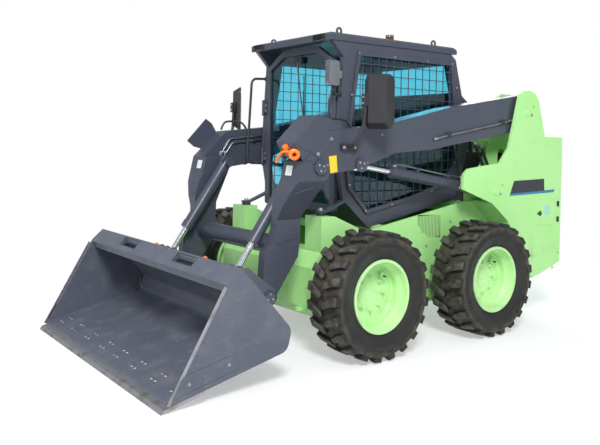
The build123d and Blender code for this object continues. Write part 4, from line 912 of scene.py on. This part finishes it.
build("leg_front_plates", "boom", "plate_white", both(lambda out: [
    outline_plate(rounded(0.062, 0.060, 0.004), at(1.4983, out * 0.530, 1.122),
                  (0.972, 0, 0.232), (-0.232, 0, 0.972), 0.0012, 0.0004)]))
bolts("knee_hood_screws", "boom", "zinc", 0.016, screws_on(ARM_OUTER + 0.004, [(1.278, 1.312), (1.378, 1.222)]))
bolts("mirror_bracket_screws", "boom", "zinc", 0.015,
      screws_on(ARM_OUTER + 0.014, [(1.185, 1.263), (1.100, 1.263)]))

# %% [markdown]
# The hydraulic coupling under the hood is the one bright orange casting: a socket on a bracket with
# a release handle that points forwards and down.

# %% Hydraulic coupling under the hood
SOCKET = [(0.010, -0.030), (0.024, -0.030), (0.028, -0.022), (0.028, 0.030), (0.033, 0.034), (0.033, 0.048),
          (0.026, 0.052), (0.014, 0.052), (0.012, 0.030), (0.010, 0.0)]
build("hydraulic_coupling", "boom", "lever_orange", [
    lathe(SOCKET, at(1.520, 0.594, 1.222), (0.45, 0.88, -0.10), 28),
    pipe([at(1.520, 0.590, 1.226), at(1.540, 0.550, 1.238), at(1.550, 0.505, 1.222), at(1.552, 0.475, 1.168)],
         0.0095),
    block((1.494, 1.524), (0.520, 0.600), (1.208, 1.240), 0.004),
    lathe(button(0.020, 0.022, 0.015, 0.026), at(1.530, 0.545, 1.250), (0.6, 0, 0.8), 20),
])

# %% [markdown]
# A steel tube runs along each arm's outer side, held by two clamps, and the glass of the mirrors
# faces back to the driver.

# %% Tubes on the arms and mirror glass
TUBE_OUT = ARM_OUTER + 0.0085
MIRROR_TURN = radians(33)


def moved(points, station, height):
    """The same outline, moved in side view."""
    return [(s + station, z + height) for s, z in points]


def mirror_glass(out):
    """The thin glass on the rear side of a mirror's head."""
    forwards = Vector((cos(MIRROR_TURN), out * sin(MIRROR_TURN), 0))
    return [outline_plate(rounded(0.164, 0.314, 0.040, 6), at(1.003, out * 0.765, 1.540) - forwards * 0.0012,
                          -forwards, (0, 0, 1), 0.0012, 0.0004)]


clamp = [(0.022, -0.016), (0.022, 0.016), (-0.022, 0.024), (-0.022, -0.008)]
build("arm_tubes", "boom", "line_steel", pipes(0.0075, 8, level_run(TUBE_OUT, [
    (0.395, 1.318), (0.360, 1.334), (0.018, 1.392), (-0.330, 1.452), (-0.400, 1.464), (-0.440, 1.478)])))
build("arm_tube_clamps", "boom", "black_plastic", side_plates(
    ARM_OUTER, 0.017, 0.002, moved(clamp, -0.322, 1.451), moved(clamp, 0.250, 1.353)))
build("arm_tube_nuts", "boom", "zinc", both(lambda out: [
    bar(at(station + 0.016, out * TUBE_OUT, z - 0.004), at(station - 0.016, out * TUBE_OUT, z + 0.004), 0.0085, 6)
    for station, z in ((0.375, 1.327), (-0.425, 1.472))]))
build("mirror_glasses", "boom", "mirror_glass", both(mirror_glass))

# %% [markdown]
# The mirror heads hang on a clamp with two screws, and hoses leave the steel lines inside the knee
# towards the tilt cylinders. They hang in a loop, so that the cylinder can swing.

# %% Mirror clamps and hoses inside the knee
heads = [at(1.085, out * (ARM_OUTER + 0.090), 1.548) for out in SIDES]
build("mirror_clamps", "boom", "black_plastic", [
    plate(head + Vector((-0.045, -0.018, -0.038)), head + Vector((0.024, 0.018, 0.034)), 0.004) for head in heads])
build("steel_line_nuts", "boom", "zinc", both(lambda out: [
    bar(at(station, out * 0.496, 1.216), at(station, out * 0.496, 1.180), 0.0115, 6)
    for station in (1.345, 1.309)]))
build("knee_hoses", "boom", "hose_rubber", pipes(0.0075, 8, *[
    [(1.345 - 0.036 * row, 0.496, 1.186), (1.345 - 0.036 * row, 0.496, 1.136), (1.335 - 0.04 * row, 0.484, 1.085),
     (1.360 - 0.03 * row, 0.472, 1.050), (1.385 - 0.02 * row, 0.470, 1.075), (1.392 - 0.02 * row, 0.467, 1.100)]
    for row in (0, 1)]))
bolts("mirror_clamp_screws", "boom", "zinc", 0.009, [
    (head + Vector((0.024, 0, height)), (1, 0, 0)) for head in heads for height in (-0.020, 0.018)])
print("boom dressed")

# %% [markdown]
# ## Bucket
# The cutting edge is bolted on in pairs, the side plates have wear plates at their lower front
# corners, and weld beads run along the inside corners where floor, back and sides meet.

# %% Edge bolts, wear plates and welds
BUCKET_SIDE, SHEET_IN = 0.905, 0.887
FLOOR_SLOPE, FLOOR_START, FLOOR_HEIGHT = 0.2349, 1.770, 0.2022
EDGE_BOLT = [(0, -0.002), (0.0125, -0.002), (0.0125, 0.0015), (0.010, 0.004), (0, 0.0045)]
floor_up = Vector((FLOOR_SLOPE, 0, 1)).normalized()


def floor_top(station):
    """Height of the bucket floor's upper face at a station."""
    return FLOOR_HEIGHT - FLOOR_SLOPE * (station - FLOOR_START)


build("edge_bolts", "bucket", "edge_steel", [
    lathe(EDGE_BOLT, at(station, out * width + offset, floor_top(station)), floor_up, 16)
    for width in (0.10, 0.34, 0.58, 0.80) for out in SIDES for offset in (-0.022, 0.022)
    for station in (2.325, 2.385)])
build("bucket_wear_plates", "bucket", "bucket_paint", side_plates(
    BUCKET_SIDE, 0.004, 0.0015, [(2.075, 0.150), (2.452, 0.060), (2.395, 0.158), (2.110, 0.226)]))
build("bucket_weld_beads", "bucket", "bucket_paint", pipes(0.0045, 6, level_run(
    SHEET_IN - 0.001, [(station, floor_top(station)) for station in (2.455, 2.10, 1.86)]
    + [(1.792, 0.208), (1.768, 0.262), (1.790, 0.330), (1.93, 0.482), (2.068, 0.632)])))
build("bucket_side_edges", "bucket", "edge_steel", side_plates(
    SHEET_IN + 0.018, 0.003, 0.001, [(2.150, 0.562), (2.166, 0.572), (2.476, 0.038), (2.460, 0.030)]))
bolts("bucket_wear_screws", "bucket", "edge_steel", 0.015,
      screws_on(BUCKET_SIDE + 0.004, [(2.135, 0.178), (2.360, 0.122)]))

# %% [markdown]
# The coupler locks the bucket with two levers. Their sleeves are orange so that the driver sees from
# the seat whether they are closed.

# %% Coupler sleeves
SLEEVE_WIDTH = 0.313
SLEEVE_END = [(0, 0), (0.014, 0), (0.018, 0.008), (0.018, 0.016), (0.012, 0.024), (0, 0.026)]
back_run = Vector((0.320, 0, 0.350)).normalized()
back_out = Vector((-back_run.z, 0, back_run.x))


def behind_back(distance, offset, out):
    """A place beside a lever: up the bucket's back by a distance, and behind it by an offset."""
    return at(1.744, out * SLEEVE_WIDTH, 0.303) + back_run * distance + back_out * offset


build("coupler_sleeves", "bucket", "lever_orange", both(lambda out: [
    bar(behind_back(0.262, 0.0545, out), behind_back(0.349, 0.0622, out), 0.0125, 20, 0.003),
    lathe(SLEEVE_END, behind_back(0.340, 0.0615, out), back_run, 20)]))
print("bucket dressed")

# %% [markdown]
# ## Cab
# The roof carries the amber beacon and two lamps under the visor, a grey work lamp stands beside the
# front post, and the door has a rubber seal, hinge bolts, a wiper and a latch.

# %% Lamps and beacon
VISOR_FACE, VISOR_BACK, VISOR_LAMP = 1.139, 1.122, 0.338
BEACON = (0.520, 0.350, 1.990)
FORWARDS, UPWARDS = (1, 0, 0), (0, 0, 1)


def lamp_rims(out):
    """Three thin plates around a visor lamp: two upright ones and one above."""
    middle = out * VISOR_LAMP
    uprights = [block((VISOR_BACK, VISOR_FACE + 0.003), (middle + offset - 0.003, middle + offset + 0.003),
                      (1.937, 1.978), 0.001) for offset in (-0.052, 0.052)]
    return uprights + [block((VISOR_BACK, VISOR_FACE + 0.004), (middle - 0.055, middle + 0.055),
                             (1.974, 1.979), 0.001)]


build("visor_lenses", "root", "lens_clear", both(lambda out: [outline_plate(
    rounded(0.104, 0.032, 0.006), at(VISOR_FACE, out * VISOR_LAMP, 1.958), FORWARDS, UPWARDS, 0.002)]))
build("visor_lamp_rims", "root", "black_plastic", both(lamp_rims))
build("beacon_lens", "root", "lens_amber", [lathe(
    [(0, 0.0), (0.0292, 0.0), (0.0292, 0.022), (0.0275, 0.034), (0.022, 0.041), (0.012, 0.0445), (0, 0.0455)],
    at(*BEACON), UPWARDS, 40)])
build("beacon_foot", "root", "black_plastic", [lathe(
    [(0.0295, 0), (0.036, 0), (0.036, 0.004), (0.0335, 0.007), (0.0295, 0.007)], at(*BEACON), UPWARDS, 40)])
build("work_lamp_lens", "root", "lens_clear", [outline_plate(
    rounded(0.044, 0.138, 0.016, 5), at(1.126, 0.4248, 1.729), FORWARDS, UPWARDS, 0.006, 0.002)])
build("work_lamp_fins", "root", "grey_plastic", [
    block((1.100, 1.130), (0.3975, 0.452), (1.7985, 1.808), 0.003),
    block((1.100, 1.130), (0.3975, 0.452), (1.650, 1.6595), 0.003),
] + [block((1.056, 1.122), (0.3985, 0.4545), (1.672 + 0.018 * i, 1.677 + 0.018 * i), 0.001) for i in range(7)])
build("work_lamp_knuckle", "root", "black_plastic", [
    bar(at(1.080, 0.425, 1.652), at(1.080, 0.425, 1.612), 0.010, 16),
    block((1.066, 1.092), (0.410, 0.440), (1.600, 1.622), 0.003)])
print("lamps dressed")

# %% [markdown]
# The door's seal is a pipe that follows the opening. The wiper has a motor housing at the top, one arm
# and a blade that lies on the glass.

# %% Door seal, wiper and latch
DOOR_IN, SEAL_STATION, SEAL_R = 1.028, 1.016, 0.0055
OPENING = [(-0.342, 0.886), (0.342, 0.886), (0.342, 1.800), (0.180, 1.886), (-0.180, 1.886), (-0.342, 1.800)]
corner = [(0, -SEAL_R), (SEAL_R, -SEAL_R), (SEAL_R, SEAL_R), (0, SEAL_R)]
seal = []
for start, end in zip(OPENING, OPENING[1:] + OPENING[:1]):
    seal.append(bar(at(SEAL_STATION, *start), at(SEAL_STATION, *end), SEAL_R, 10))
    seal.append(lathe(corner, at(SEAL_STATION, *start), FORWARDS, 12))
build("door_seal", "front_door", "hose_rubber", seal)
build("door_wiper", "front_door", "black_plastic", [
    block((1.014, 1.044), (-0.040, 0.040), (1.832, 1.872), 0.006, 3),
    lathe(button(0.012, 0.010, 0.008, 0.014), at(1.040, 0.0, 1.850), FORWARDS, 20),
    pipe([at(1.047, 0.0, 1.850), at(1.045, 0.020, 1.700), at(1.032, 0.055, 1.480)], 0.0045, 6),
    bar(at(1.0225, 0.048, 1.740), at(1.0225, 0.062, 1.220), 0.0042, 8),
    bar(at(1.026, 0.050, 1.640), at(1.026, 0.060, 1.320), 0.0048, 8),
])
build("door_latch", "front_door", "handle_black", [
    block((DOOR_IN + 0.026, DOOR_IN + 0.034), (0.346, 0.374), (1.226, 1.334), 0.003, 3),
    lathe(button(0.011, 0.004, 0.008, 0.006), at(DOOR_IN + 0.033, 0.360, 1.300), FORWARDS, 20),
    block((DOOR_IN - 0.001, DOOR_IN + 0.003), (0.340, 0.380), (1.216, 1.344), 0.001),
])
bolts("door_hinge_screws", "front_door", "zinc", 0.010,
      [(at(1.0385, -0.376, z), (0, 1, 0)) for z in (1.166, 1.204, 1.516, 1.554)])

# %% [markdown]
# Each grab handle ends in a small welded foot. The side screens are held on by screws through their
# frames.

# %% Handle feet and screen screws
HANDLE_FOOT = [(0.0095, 0.0), (0.017, 0.0), (0.017, 0.004), (0.0125, 0.008), (0.0095, 0.009)]
HANDLE_ENDS = [(1.015, 0.420, 1.600), (1.036, 0.420, 1.200), (1.010, -0.420, 1.750), (1.026, -0.420, 1.130)]
build("handle_feet", "root", "handle_black", [lathe(HANDLE_FOOT, at(*end), FORWARDS, 24) for end in HANDLE_ENDS])
bolts("screen_screws", "root", "zinc", 0.0095, screws_on(0.444, [
    (0.880, 1.873), (0.560, 1.8715), (0.240, 1.870), (-0.020, 1.868), (-0.070, 1.700), (-0.116, 1.380),
    (-0.060, 1.160), (0.170, 0.960), (0.560, 0.880), (0.800, 0.846), (0.946, 1.020), (0.952, 1.250),
    (0.938, 1.600)]))

# %% [markdown]
# Inside, each lever has a moulded grip with a switch on top and a folded rubber boot at its foot.

# %% Lever grips, switches and boots
LEVER_WIDTH = 0.295
GRIP = [(0, 0), (0.016, 0), (0.019, 0.012), (0.0165, 0.030), (0.019, 0.060), (0.023, 0.085), (0.021, 0.104),
        (0.012, 0.112), (0, 0.113)]
BOOT = [(0.013, 0.040), (0.017, 0.038), (0.017, 0.030), (0.024, 0.028), (0.024, 0.020), (0.032, 0.018),
        (0.034, 0.004), (0.040, 0.0), (0.013, 0.0)]
lean = Vector((0.15, 0, 1)).normalized()
sticks = [at(0.551, out * LEVER_WIDTH, 1.318) for out in SIDES]
build("lever_grips", "root", "black_plastic", [lathe(GRIP, stick, lean, 24) for stick in sticks])
build("lever_switches", "root", "lever_orange", [
    lathe(button(0.006, 0.006, 0.004, 0.008), stick + lean * 0.112, lean, 14) for stick in sticks])
build("lever_boots", "root", "hose_rubber", [
    lathe(BOOT, at(0.522, out * LEVER_WIDTH, 1.188), (0.2, 0, 1), 24) for out in SIDES])

# %% [markdown]
# The seat's cushion and back are stuffed. A copy of each is made of small even faces, and cloth under
# pressure swells it a little, which rounds its edges as foam does.

# %% Padded seat
VOXEL, SWELL, STEPS, MOST_SWELL = 0.006, 4.0, 20, 0.008


def stuffed(node_name, name):
    """A copy of a seat pad, swollen by cloth pressure."""
    pad = add_object(name, nodes[node_name].data.copy())
    pad.data.name = name
    bake_place(pad)
    foot = min(v.co.z for v in pad.data.vertices)
    apply(pad, "REMESH", mode="VOXEL", voxel_size=VOXEL)
    before = [v.co.copy() for v in pad.data.vertices]
    cloth = pad.modifiers.new("cloth", "CLOTH")
    cloth.settings.use_pressure = True
    cloth.settings.uniform_pressure_force = SWELL
    cloth.settings.quality = 5
    cloth.settings.effector_weights.gravity = 0
    cloth.point_cache.frame_start, cloth.point_cache.frame_end = 1, STEPS
    for step in range(1, STEPS + 1):
        bpy.context.scene.frame_set(step)
    pick(pad)
    bpy.ops.object.modifier_apply(modifier="cloth")
    bpy.context.scene.frame_set(1)
    for v, start in zip(pad.data.vertices, before):
        move = v.co - start
        if move.length > MOST_SWELL:
            v.co = start + move * (MOST_SWELL / move.length)
        v.co.z = max(v.co.z, foot)
    apply(pad, "SMOOTH", factor=0.5, iterations=4)
    apply(pad, "SUBSURF", levels=1)
    settle(pad, "root", "seat_cloth", smooth=80)
    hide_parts(node_name)
    return pad


for node_name in ("seat_cushion", "seat_back"):
    pad = stuffed(node_name, f"{node_name}_stuffed")
    print(pad.name, len(pad.data.polygons), "faces")

# %% [markdown]
# ## Towers
# A tower's pin is locked by a bent keeper: a round recess whose front edge shows as a crescent, with one
# bolt behind it and a drop of orange sealing paint.

# %% Pin keepers on the towers
TOWER_PINS = ((-0.573, 1.531), (-0.227, 0.958))    # the boom's pin and the lift cylinder's base
ARC = [radians(-80 + 160 * i / 14) for i in range(15)]
PIN_FACE = [(0, 0.004), (0.024, 0.004), (0.0265, 0.001), (0.0265, 0), (0.0, 0.0)]
PAINT_DROP = [(0, 0), (0.008, 0), (0.006, 0.002), (0, 0.0025)]
crescent = ([(0.047 * cos(turn), 0.047 * sin(turn)) for turn in ARC]
            + [(0.034 * cos(turn), 0.041 * sin(turn)) for turn in reversed(ARC)])


def on_towers(section, steps, width, shift, rise):
    """A turned piece beside each pin on both towers, facing outwards."""
    return both(lambda out: [lathe(section, at(station + shift, out * width, height + rise), (0, out, 0), steps)
                             for station, height in TOWER_PINS])


build("tower_pin_keepers", "root", "body_green", side_plates(
    TOWER_OUTER, 0.003, 0.0008, *[moved(crescent, *pin) for pin in TOWER_PINS]))
build("tower_pin_faces", "root", "body_green", on_towers(PIN_FACE, 36, TOWER_OUTER + 0.001, 0, 0))
build("sealing_paint", "root", "lever_orange", on_towers(PAINT_DROP, 12, TOWER_OUTER, -0.066, 0.048))
bolts("tower_keeper_screws", "root", "zinc", 0.016,
      screws_on(TOWER_OUTER, [(station - 0.045, height - 0.014) for station, height in TOWER_PINS]))
print("pin keepers:", 2 * len(TOWER_PINS))

# %% [markdown]
# Plates lie flat on the tower: a blank name plate, a dark field with a blue edge below, then the fuel
# door with its hinges and latch, and an embossed blank panel. Large bolts sit low on the tower.

# %% Plates, panel and bolts on the towers
FUEL_DOOR = [(-0.711, 0.892), (-0.916, 0.885), (-0.925, 0.685), (-0.719, 0.696)]
DOOR_FACE, HINGE, HINGE_WIDTH = TOWER_OUTER + 0.003, -0.979, TOWER_OUTER + 0.004
LATCH = [(0, 0), (0.017, 0), (0.019, 0.003), (0.016, 0.006), (0.008, 0.006), (0.007, 0.003), (0, 0.003)]


def hinges(out):
    """Two hinges, each a pin along Z and a leaf that lies on the tower."""
    pieces = []
    for z in (0.848, 0.729):
        pieces.append(bar(at(HINGE, out * HINGE_WIDTH, z + 0.020), at(HINGE, out * HINGE_WIDTH, z - 0.020),
                          0.0085, 16))
        pieces.append(side_plate(box_outline((-0.990, -0.966), (z - 0.016, z + 0.016)), out, TOWER_OUTER, 0.004))
    return pieces


build("name_plates", "root", "plate_dark", side_plates(
    TOWER_OUTER, 0.0016, 0.0004, [(-0.383, 0.940), (-0.427, 1.033), (-0.792, 1.043), (-0.800, 0.952)]))
build("name_plate_edges", "root", "plate_blue", side_plates(
    TOWER_OUTER, 0.0012, 0.0003, [(-0.381, 0.925), (-0.383, 0.940), (-0.930, 0.960), (-0.922, 0.938)]))
build("fuel_doors", "root", "body_green", side_plates(TOWER_OUTER, 0.0035, 0.0012, FUEL_DOOR))
build("fuel_door_edges", "root", "body_green", both(lambda out: [
    bar(at(s0, out * TOWER_OUTER, z0), at(s1, out * TOWER_OUTER, z1), 0.0016, 6, 0.0003)
    for (s0, z0), (s1, z1) in zip(FUEL_DOOR, FUEL_DOOR[1:] + FUEL_DOOR[:1])]))
build("fuel_door_hinges", "root", "black_plastic", both(hinges))
build("fuel_door_latches", "root", "black_plastic", both(lambda out: [
    lathe(LATCH, at(-0.746, out * DOOR_FACE, 0.783), (0, out, 0), 28),
    side_plate(box_outline((-0.727, -0.713), (0.777, 0.789)), out, DOOR_FACE, 0.005)]))
build("fuel_door_plates", "root", "plate_pale_blue", side_plates(
    TOWER_OUTER + 0.0035, 0.0010, 0.0003, [(-0.800, 0.838), (-0.868, 0.836), (-0.868, 0.768), (-0.800, 0.770)]))
build("tower_blank_plates", "root", "body_green", side_plates(
    TOWER_OUTER, 0.0015, 0.0006, [(-0.520, 1.452), (-0.721, 1.458), (-0.727, 1.309), (-0.526, 1.307)]))
bolts("tower_bolts", "root", "body_green", 0.022, screws_on(
    TOWER_OUTER, [(-0.986, 0.483), (-0.920, 0.363), (-0.662, 0.478), (-0.652, 0.330)]))

# %% [markdown]
# Between the tower's plates two thick hoses come up to the lift cylinder and the boom. They stand in
# the gap with crimped ends and bright elbows, and a small bracket holds them.

# %% Hoses in the tower gap
HOSE_R = 0.0095
hoses, crimps, elbows = [], [], []
for out in SIDES:
    for shift, high in ((0.0, 1.288), (-0.036, 1.262)):
        width = out * (0.512 - 0.4 * shift)
        upper, lower = at(-0.210 + 1.6 * shift, width, high), at(-0.340 + shift, width, 1.085)
        axis = (upper - lower).normalized()
        hoses.append(pipe([upper, upper + (lower - upper) * 0.5 + Vector((0.006, 0, 0)), lower,
                           lower + Vector((-0.030, 0, -0.060))], HOSE_R))
        crimps.append(bar(upper - axis * 0.052, upper + axis * 0.006, 0.0125, 20))
        crimps.append(bar(lower + axis * 0.040, lower - axis * 0.004, 0.0125, 20))
        elbows.append(pipe([upper, upper + axis * 0.020, upper + axis * 0.034 + Vector((0.022, 0, 0.006)),
                            upper + Vector((0.062, 0, 0.024))], 0.008))
        elbows.append(bar(upper + axis * 0.006, upper + axis * 0.018, 0.0135, 6))
build("tower_hoses", "root", "hose_rubber", hoses)
build("tower_hose_crimps", "root", "black_plastic", crimps)
build("tower_hose_elbows", "root", "zinc", elbows)
build("tower_hose_brackets", "root", "black_plastic", both(lambda out: [
    block((-0.156, -0.146), (out * 0.496, out * 0.532), (1.235, 1.312))]))

# %% [markdown]
# The lift cylinder carries a steel tube along its top to the rod end's port, with blocks and bands.
# Two hoses pass over its base, and a white tie hangs down beside the barrel.

# %% Tubes, hoses and ties on the lift cylinders
BARREL, TUBE, TIE = 0.575, 0.588, 0.6135           # half-widths of the barrel, the tube and the tie
BAND = [(0.0368, -0.009), (0.0392, -0.009), (0.0392, 0.009), (0.0368, 0.009)]
(base_station, base_height), (eye_station, eye_height) = TOWER_PINS[1], ARM_PINS[0]
lift_run = Vector((eye_station - base_station, 0, eye_height - base_height)).normalized()
lift_up = Vector((-lift_run.z, 0, lift_run.x))


def on_lift(out, distance, rise, width):
    """A place on a side's lift cylinder: from its base pin, above its middle line, this far out."""
    return at(base_station, out * width, base_height) + lift_run * distance + lift_up * rise


def lift_pipes(radius, sides, *runs):
    """Pipes on both lift cylinders, each run a list of (distance, rise, half-width)."""
    return both(lambda out: [pipe([on_lift(out, *place) for place in run], radius, sides) for run in runs])


def lift_band(out, distance):
    """A band round the barrel, and the block on it that holds the tube."""
    return [lathe(BAND, on_lift(out, distance, 0, BARREL), lift_run, 40),
            plate(on_lift(out, distance - 0.010, 0.036, TUBE - 0.013),
                  on_lift(out, distance + 0.010, 0.060, TUBE + 0.013), 0.003)]


build("lift_cylinder_tubes", "lift_barrels", "line_steel", lift_pipes(0.0065, 8, [
    (0.930, 0.030, TUBE), (0.925, 0.056, TUBE), (0.890, 0.058, TUBE), (0.400, 0.054, TUBE),
    (0.330, 0.058, 0.592), (0.215, 0.062, 0.594)]))
build("lift_cylinder_ports", "lift_barrels", "zinc", both(lambda out: [
    plate(on_lift(out, 0.915, 0.030, BARREL - 0.016), on_lift(out, 0.950, 0.046, BARREL + 0.016), 0.003),
    bar(on_lift(out, 0.245, 0.0605, 0.5935), on_lift(out, 0.215, 0.0618, 0.594), 0.0105, 6),
    bar(on_lift(out, 0.400, 0.054, TUBE), on_lift(out, 0.425, 0.0542, TUBE), 0.0095, 6)]))
build("lift_cylinder_bands", "lift_barrels", "dark_paint",
      both(lambda out: lift_band(out, 0.420) + lift_band(out, 0.720)))
build("lift_cylinder_hoses", "lift_barrels", "hose_rubber", lift_pipes(0.009, 8, *[
    [(0.215, 0.060, width), (0.150, rise, width), (0.080, 0.060, width), (0.020, 0.056, width)]
    for width, rise in ((0.560, 0.062), (0.586, 0.066))]))
build("lift_cylinder_ties", "lift_barrels", "tie_white", lift_pipes(0.003, 6, [
    (0.300, 0.068, 0.606), (0.298, 0.040, TIE), (0.300, 0.0, TIE), (0.306, -0.022, 0.610)]))

# %% [markdown]
# ## Tub and rear
# The tub's side has a slatted vent with a cut corner, and three screws. Behind the slats a thin dark sheet is
# painted shade for the vent's opening.

# %% Vents and screws on the tub
VENT = [(0.375, 0.805), (0.153, 0.795), (0.148, 0.640), (0.270, 0.650), (0.375, 0.735)]
SLATS, FIRST_SLAT, SLAT_STEP, CUT_START = 15, 0.158, 0.0146, 0.268


def slat(out, station):
    """One upright slat of the vent; behind the cut corner its lower end rises."""
    low = 0.646 if station < CUT_START else 0.650 + (station - CUT_START) * 0.80
    return block((station, station + 0.0085), (out * TUB_SIDE, out * (TUB_SIDE + 0.0035)), (low, 0.797), 0.001, 1)


# The dark sheet behind the slats is painted shade: it stands for the shaded opening of the vent.
build("vent_painted_shade", "root", "plate_dark", side_plates(TUB_SIDE, 0.0008, 0.0002, VENT))
build("vent_slats", "root", "body_green",
      both(lambda out: [slat(out, FIRST_SLAT + SLAT_STEP * i) for i in range(SLATS)]))
bolts("tub_screws", "root", "zinc", 0.012, screws_on(TUB_SIDE, [(0.289, 0.587), (0.045, 0.745), (0.140, 0.560)]))

# %% [markdown]
# The cab stands on two rubber mounts at the front, each closed by a nut on a broad washer.

# %% Cab mount nuts and rings
MOUNT = (1.165, 0.424)
bolts("cab_mount_nuts", "root", "zinc", 0.030, [(at(MOUNT[0], out * MOUNT[1], 0.862), UPWARDS) for out in SIDES])
build("cab_mount_rings", "root", "hose_rubber", both(lambda out: [
    ring(0.030, 0.003, at(MOUNT[0], out * MOUNT[1], z), UPWARDS, 32) for z in (0.838, 0.846)]))

# %% [markdown]
# At the rear, each tower ends in a lamp with three lenses, and the door has louvres, a latch and
# screws.

# %% Rear lamps and rear door
LAMP_FACE, LAMP_WIDTH = -1.0027, 0.575


def lamp_block(out, offsets, heights, behind, ahead, bevel):
    """A block on the rear lamp of one side, from two offsets across the lamp and two heights."""
    middle = out * LAMP_WIDTH
    return block((LAMP_FACE - behind, LAMP_FACE + ahead), (middle + offsets[0], middle + offsets[1]),
                 heights, bevel)


def rear_rims(out):
    """The lamp's frame: two upright plates and four level ones between the lenses."""
    uprights = [lamp_block(out, (offset - 0.002, offset + 0.002), (1.149, 1.271), 0.006, 0.004, 0.001)
                for offset in (-0.030, 0.030)]
    return uprights + [lamp_block(out, (-0.032, 0.032), (z, z + 0.003), 0.006, 0.004, 0.001)
                       for z in (1.149, 1.1885, 1.2275, 1.268)]


for kind, low in (("red", 1.153), ("amber", 1.192), ("clear", 1.231)):
    build(f"rear_lens_{kind}", "root", f"lens_{kind}", both(lambda out: [
        lamp_block(out, (-0.028, 0.028), (low, low + 0.036), 0.004, 0.002, 0.002)]))
build("rear_lamp_rims", "root", "black_plastic", both(rear_rims))
bolts("rear_door_screws", "rear_door", "zinc", 0.014,
      both(lambda out: [(at(-1.006, out * 0.425, z), (-1, 0, 0)) for z in (0.480, 0.800, 1.310)]))
blade = [(-1.005, 0.021), (-1.016, 0.006), (-1.014, 0.004), (-1.003, 0.018)]
build("rear_door_louvres", "rear_door", "body_green", [
    side_plate(moved(blade, 0, 0.820 + 0.038 * i), 1, -0.340, 0.680, 0.0005) for i in range(11)])
build("rear_door_latch", "rear_door", "black_plastic", [
    block((-1.014, -1.006), (0.372, 0.388), (0.950, 1.050), 0.003),
    lathe(button(0.013, 0.004, 0.009, 0.006), at(-1.006, 0.380, 0.915), (-1, 0, 0), 24)])
print("body dressed")

# %% [markdown]
# At the end we remove the bolt pattern, which was only copied from.

# %% Clearing up
bpy.data.objects.remove(bolt_pattern)
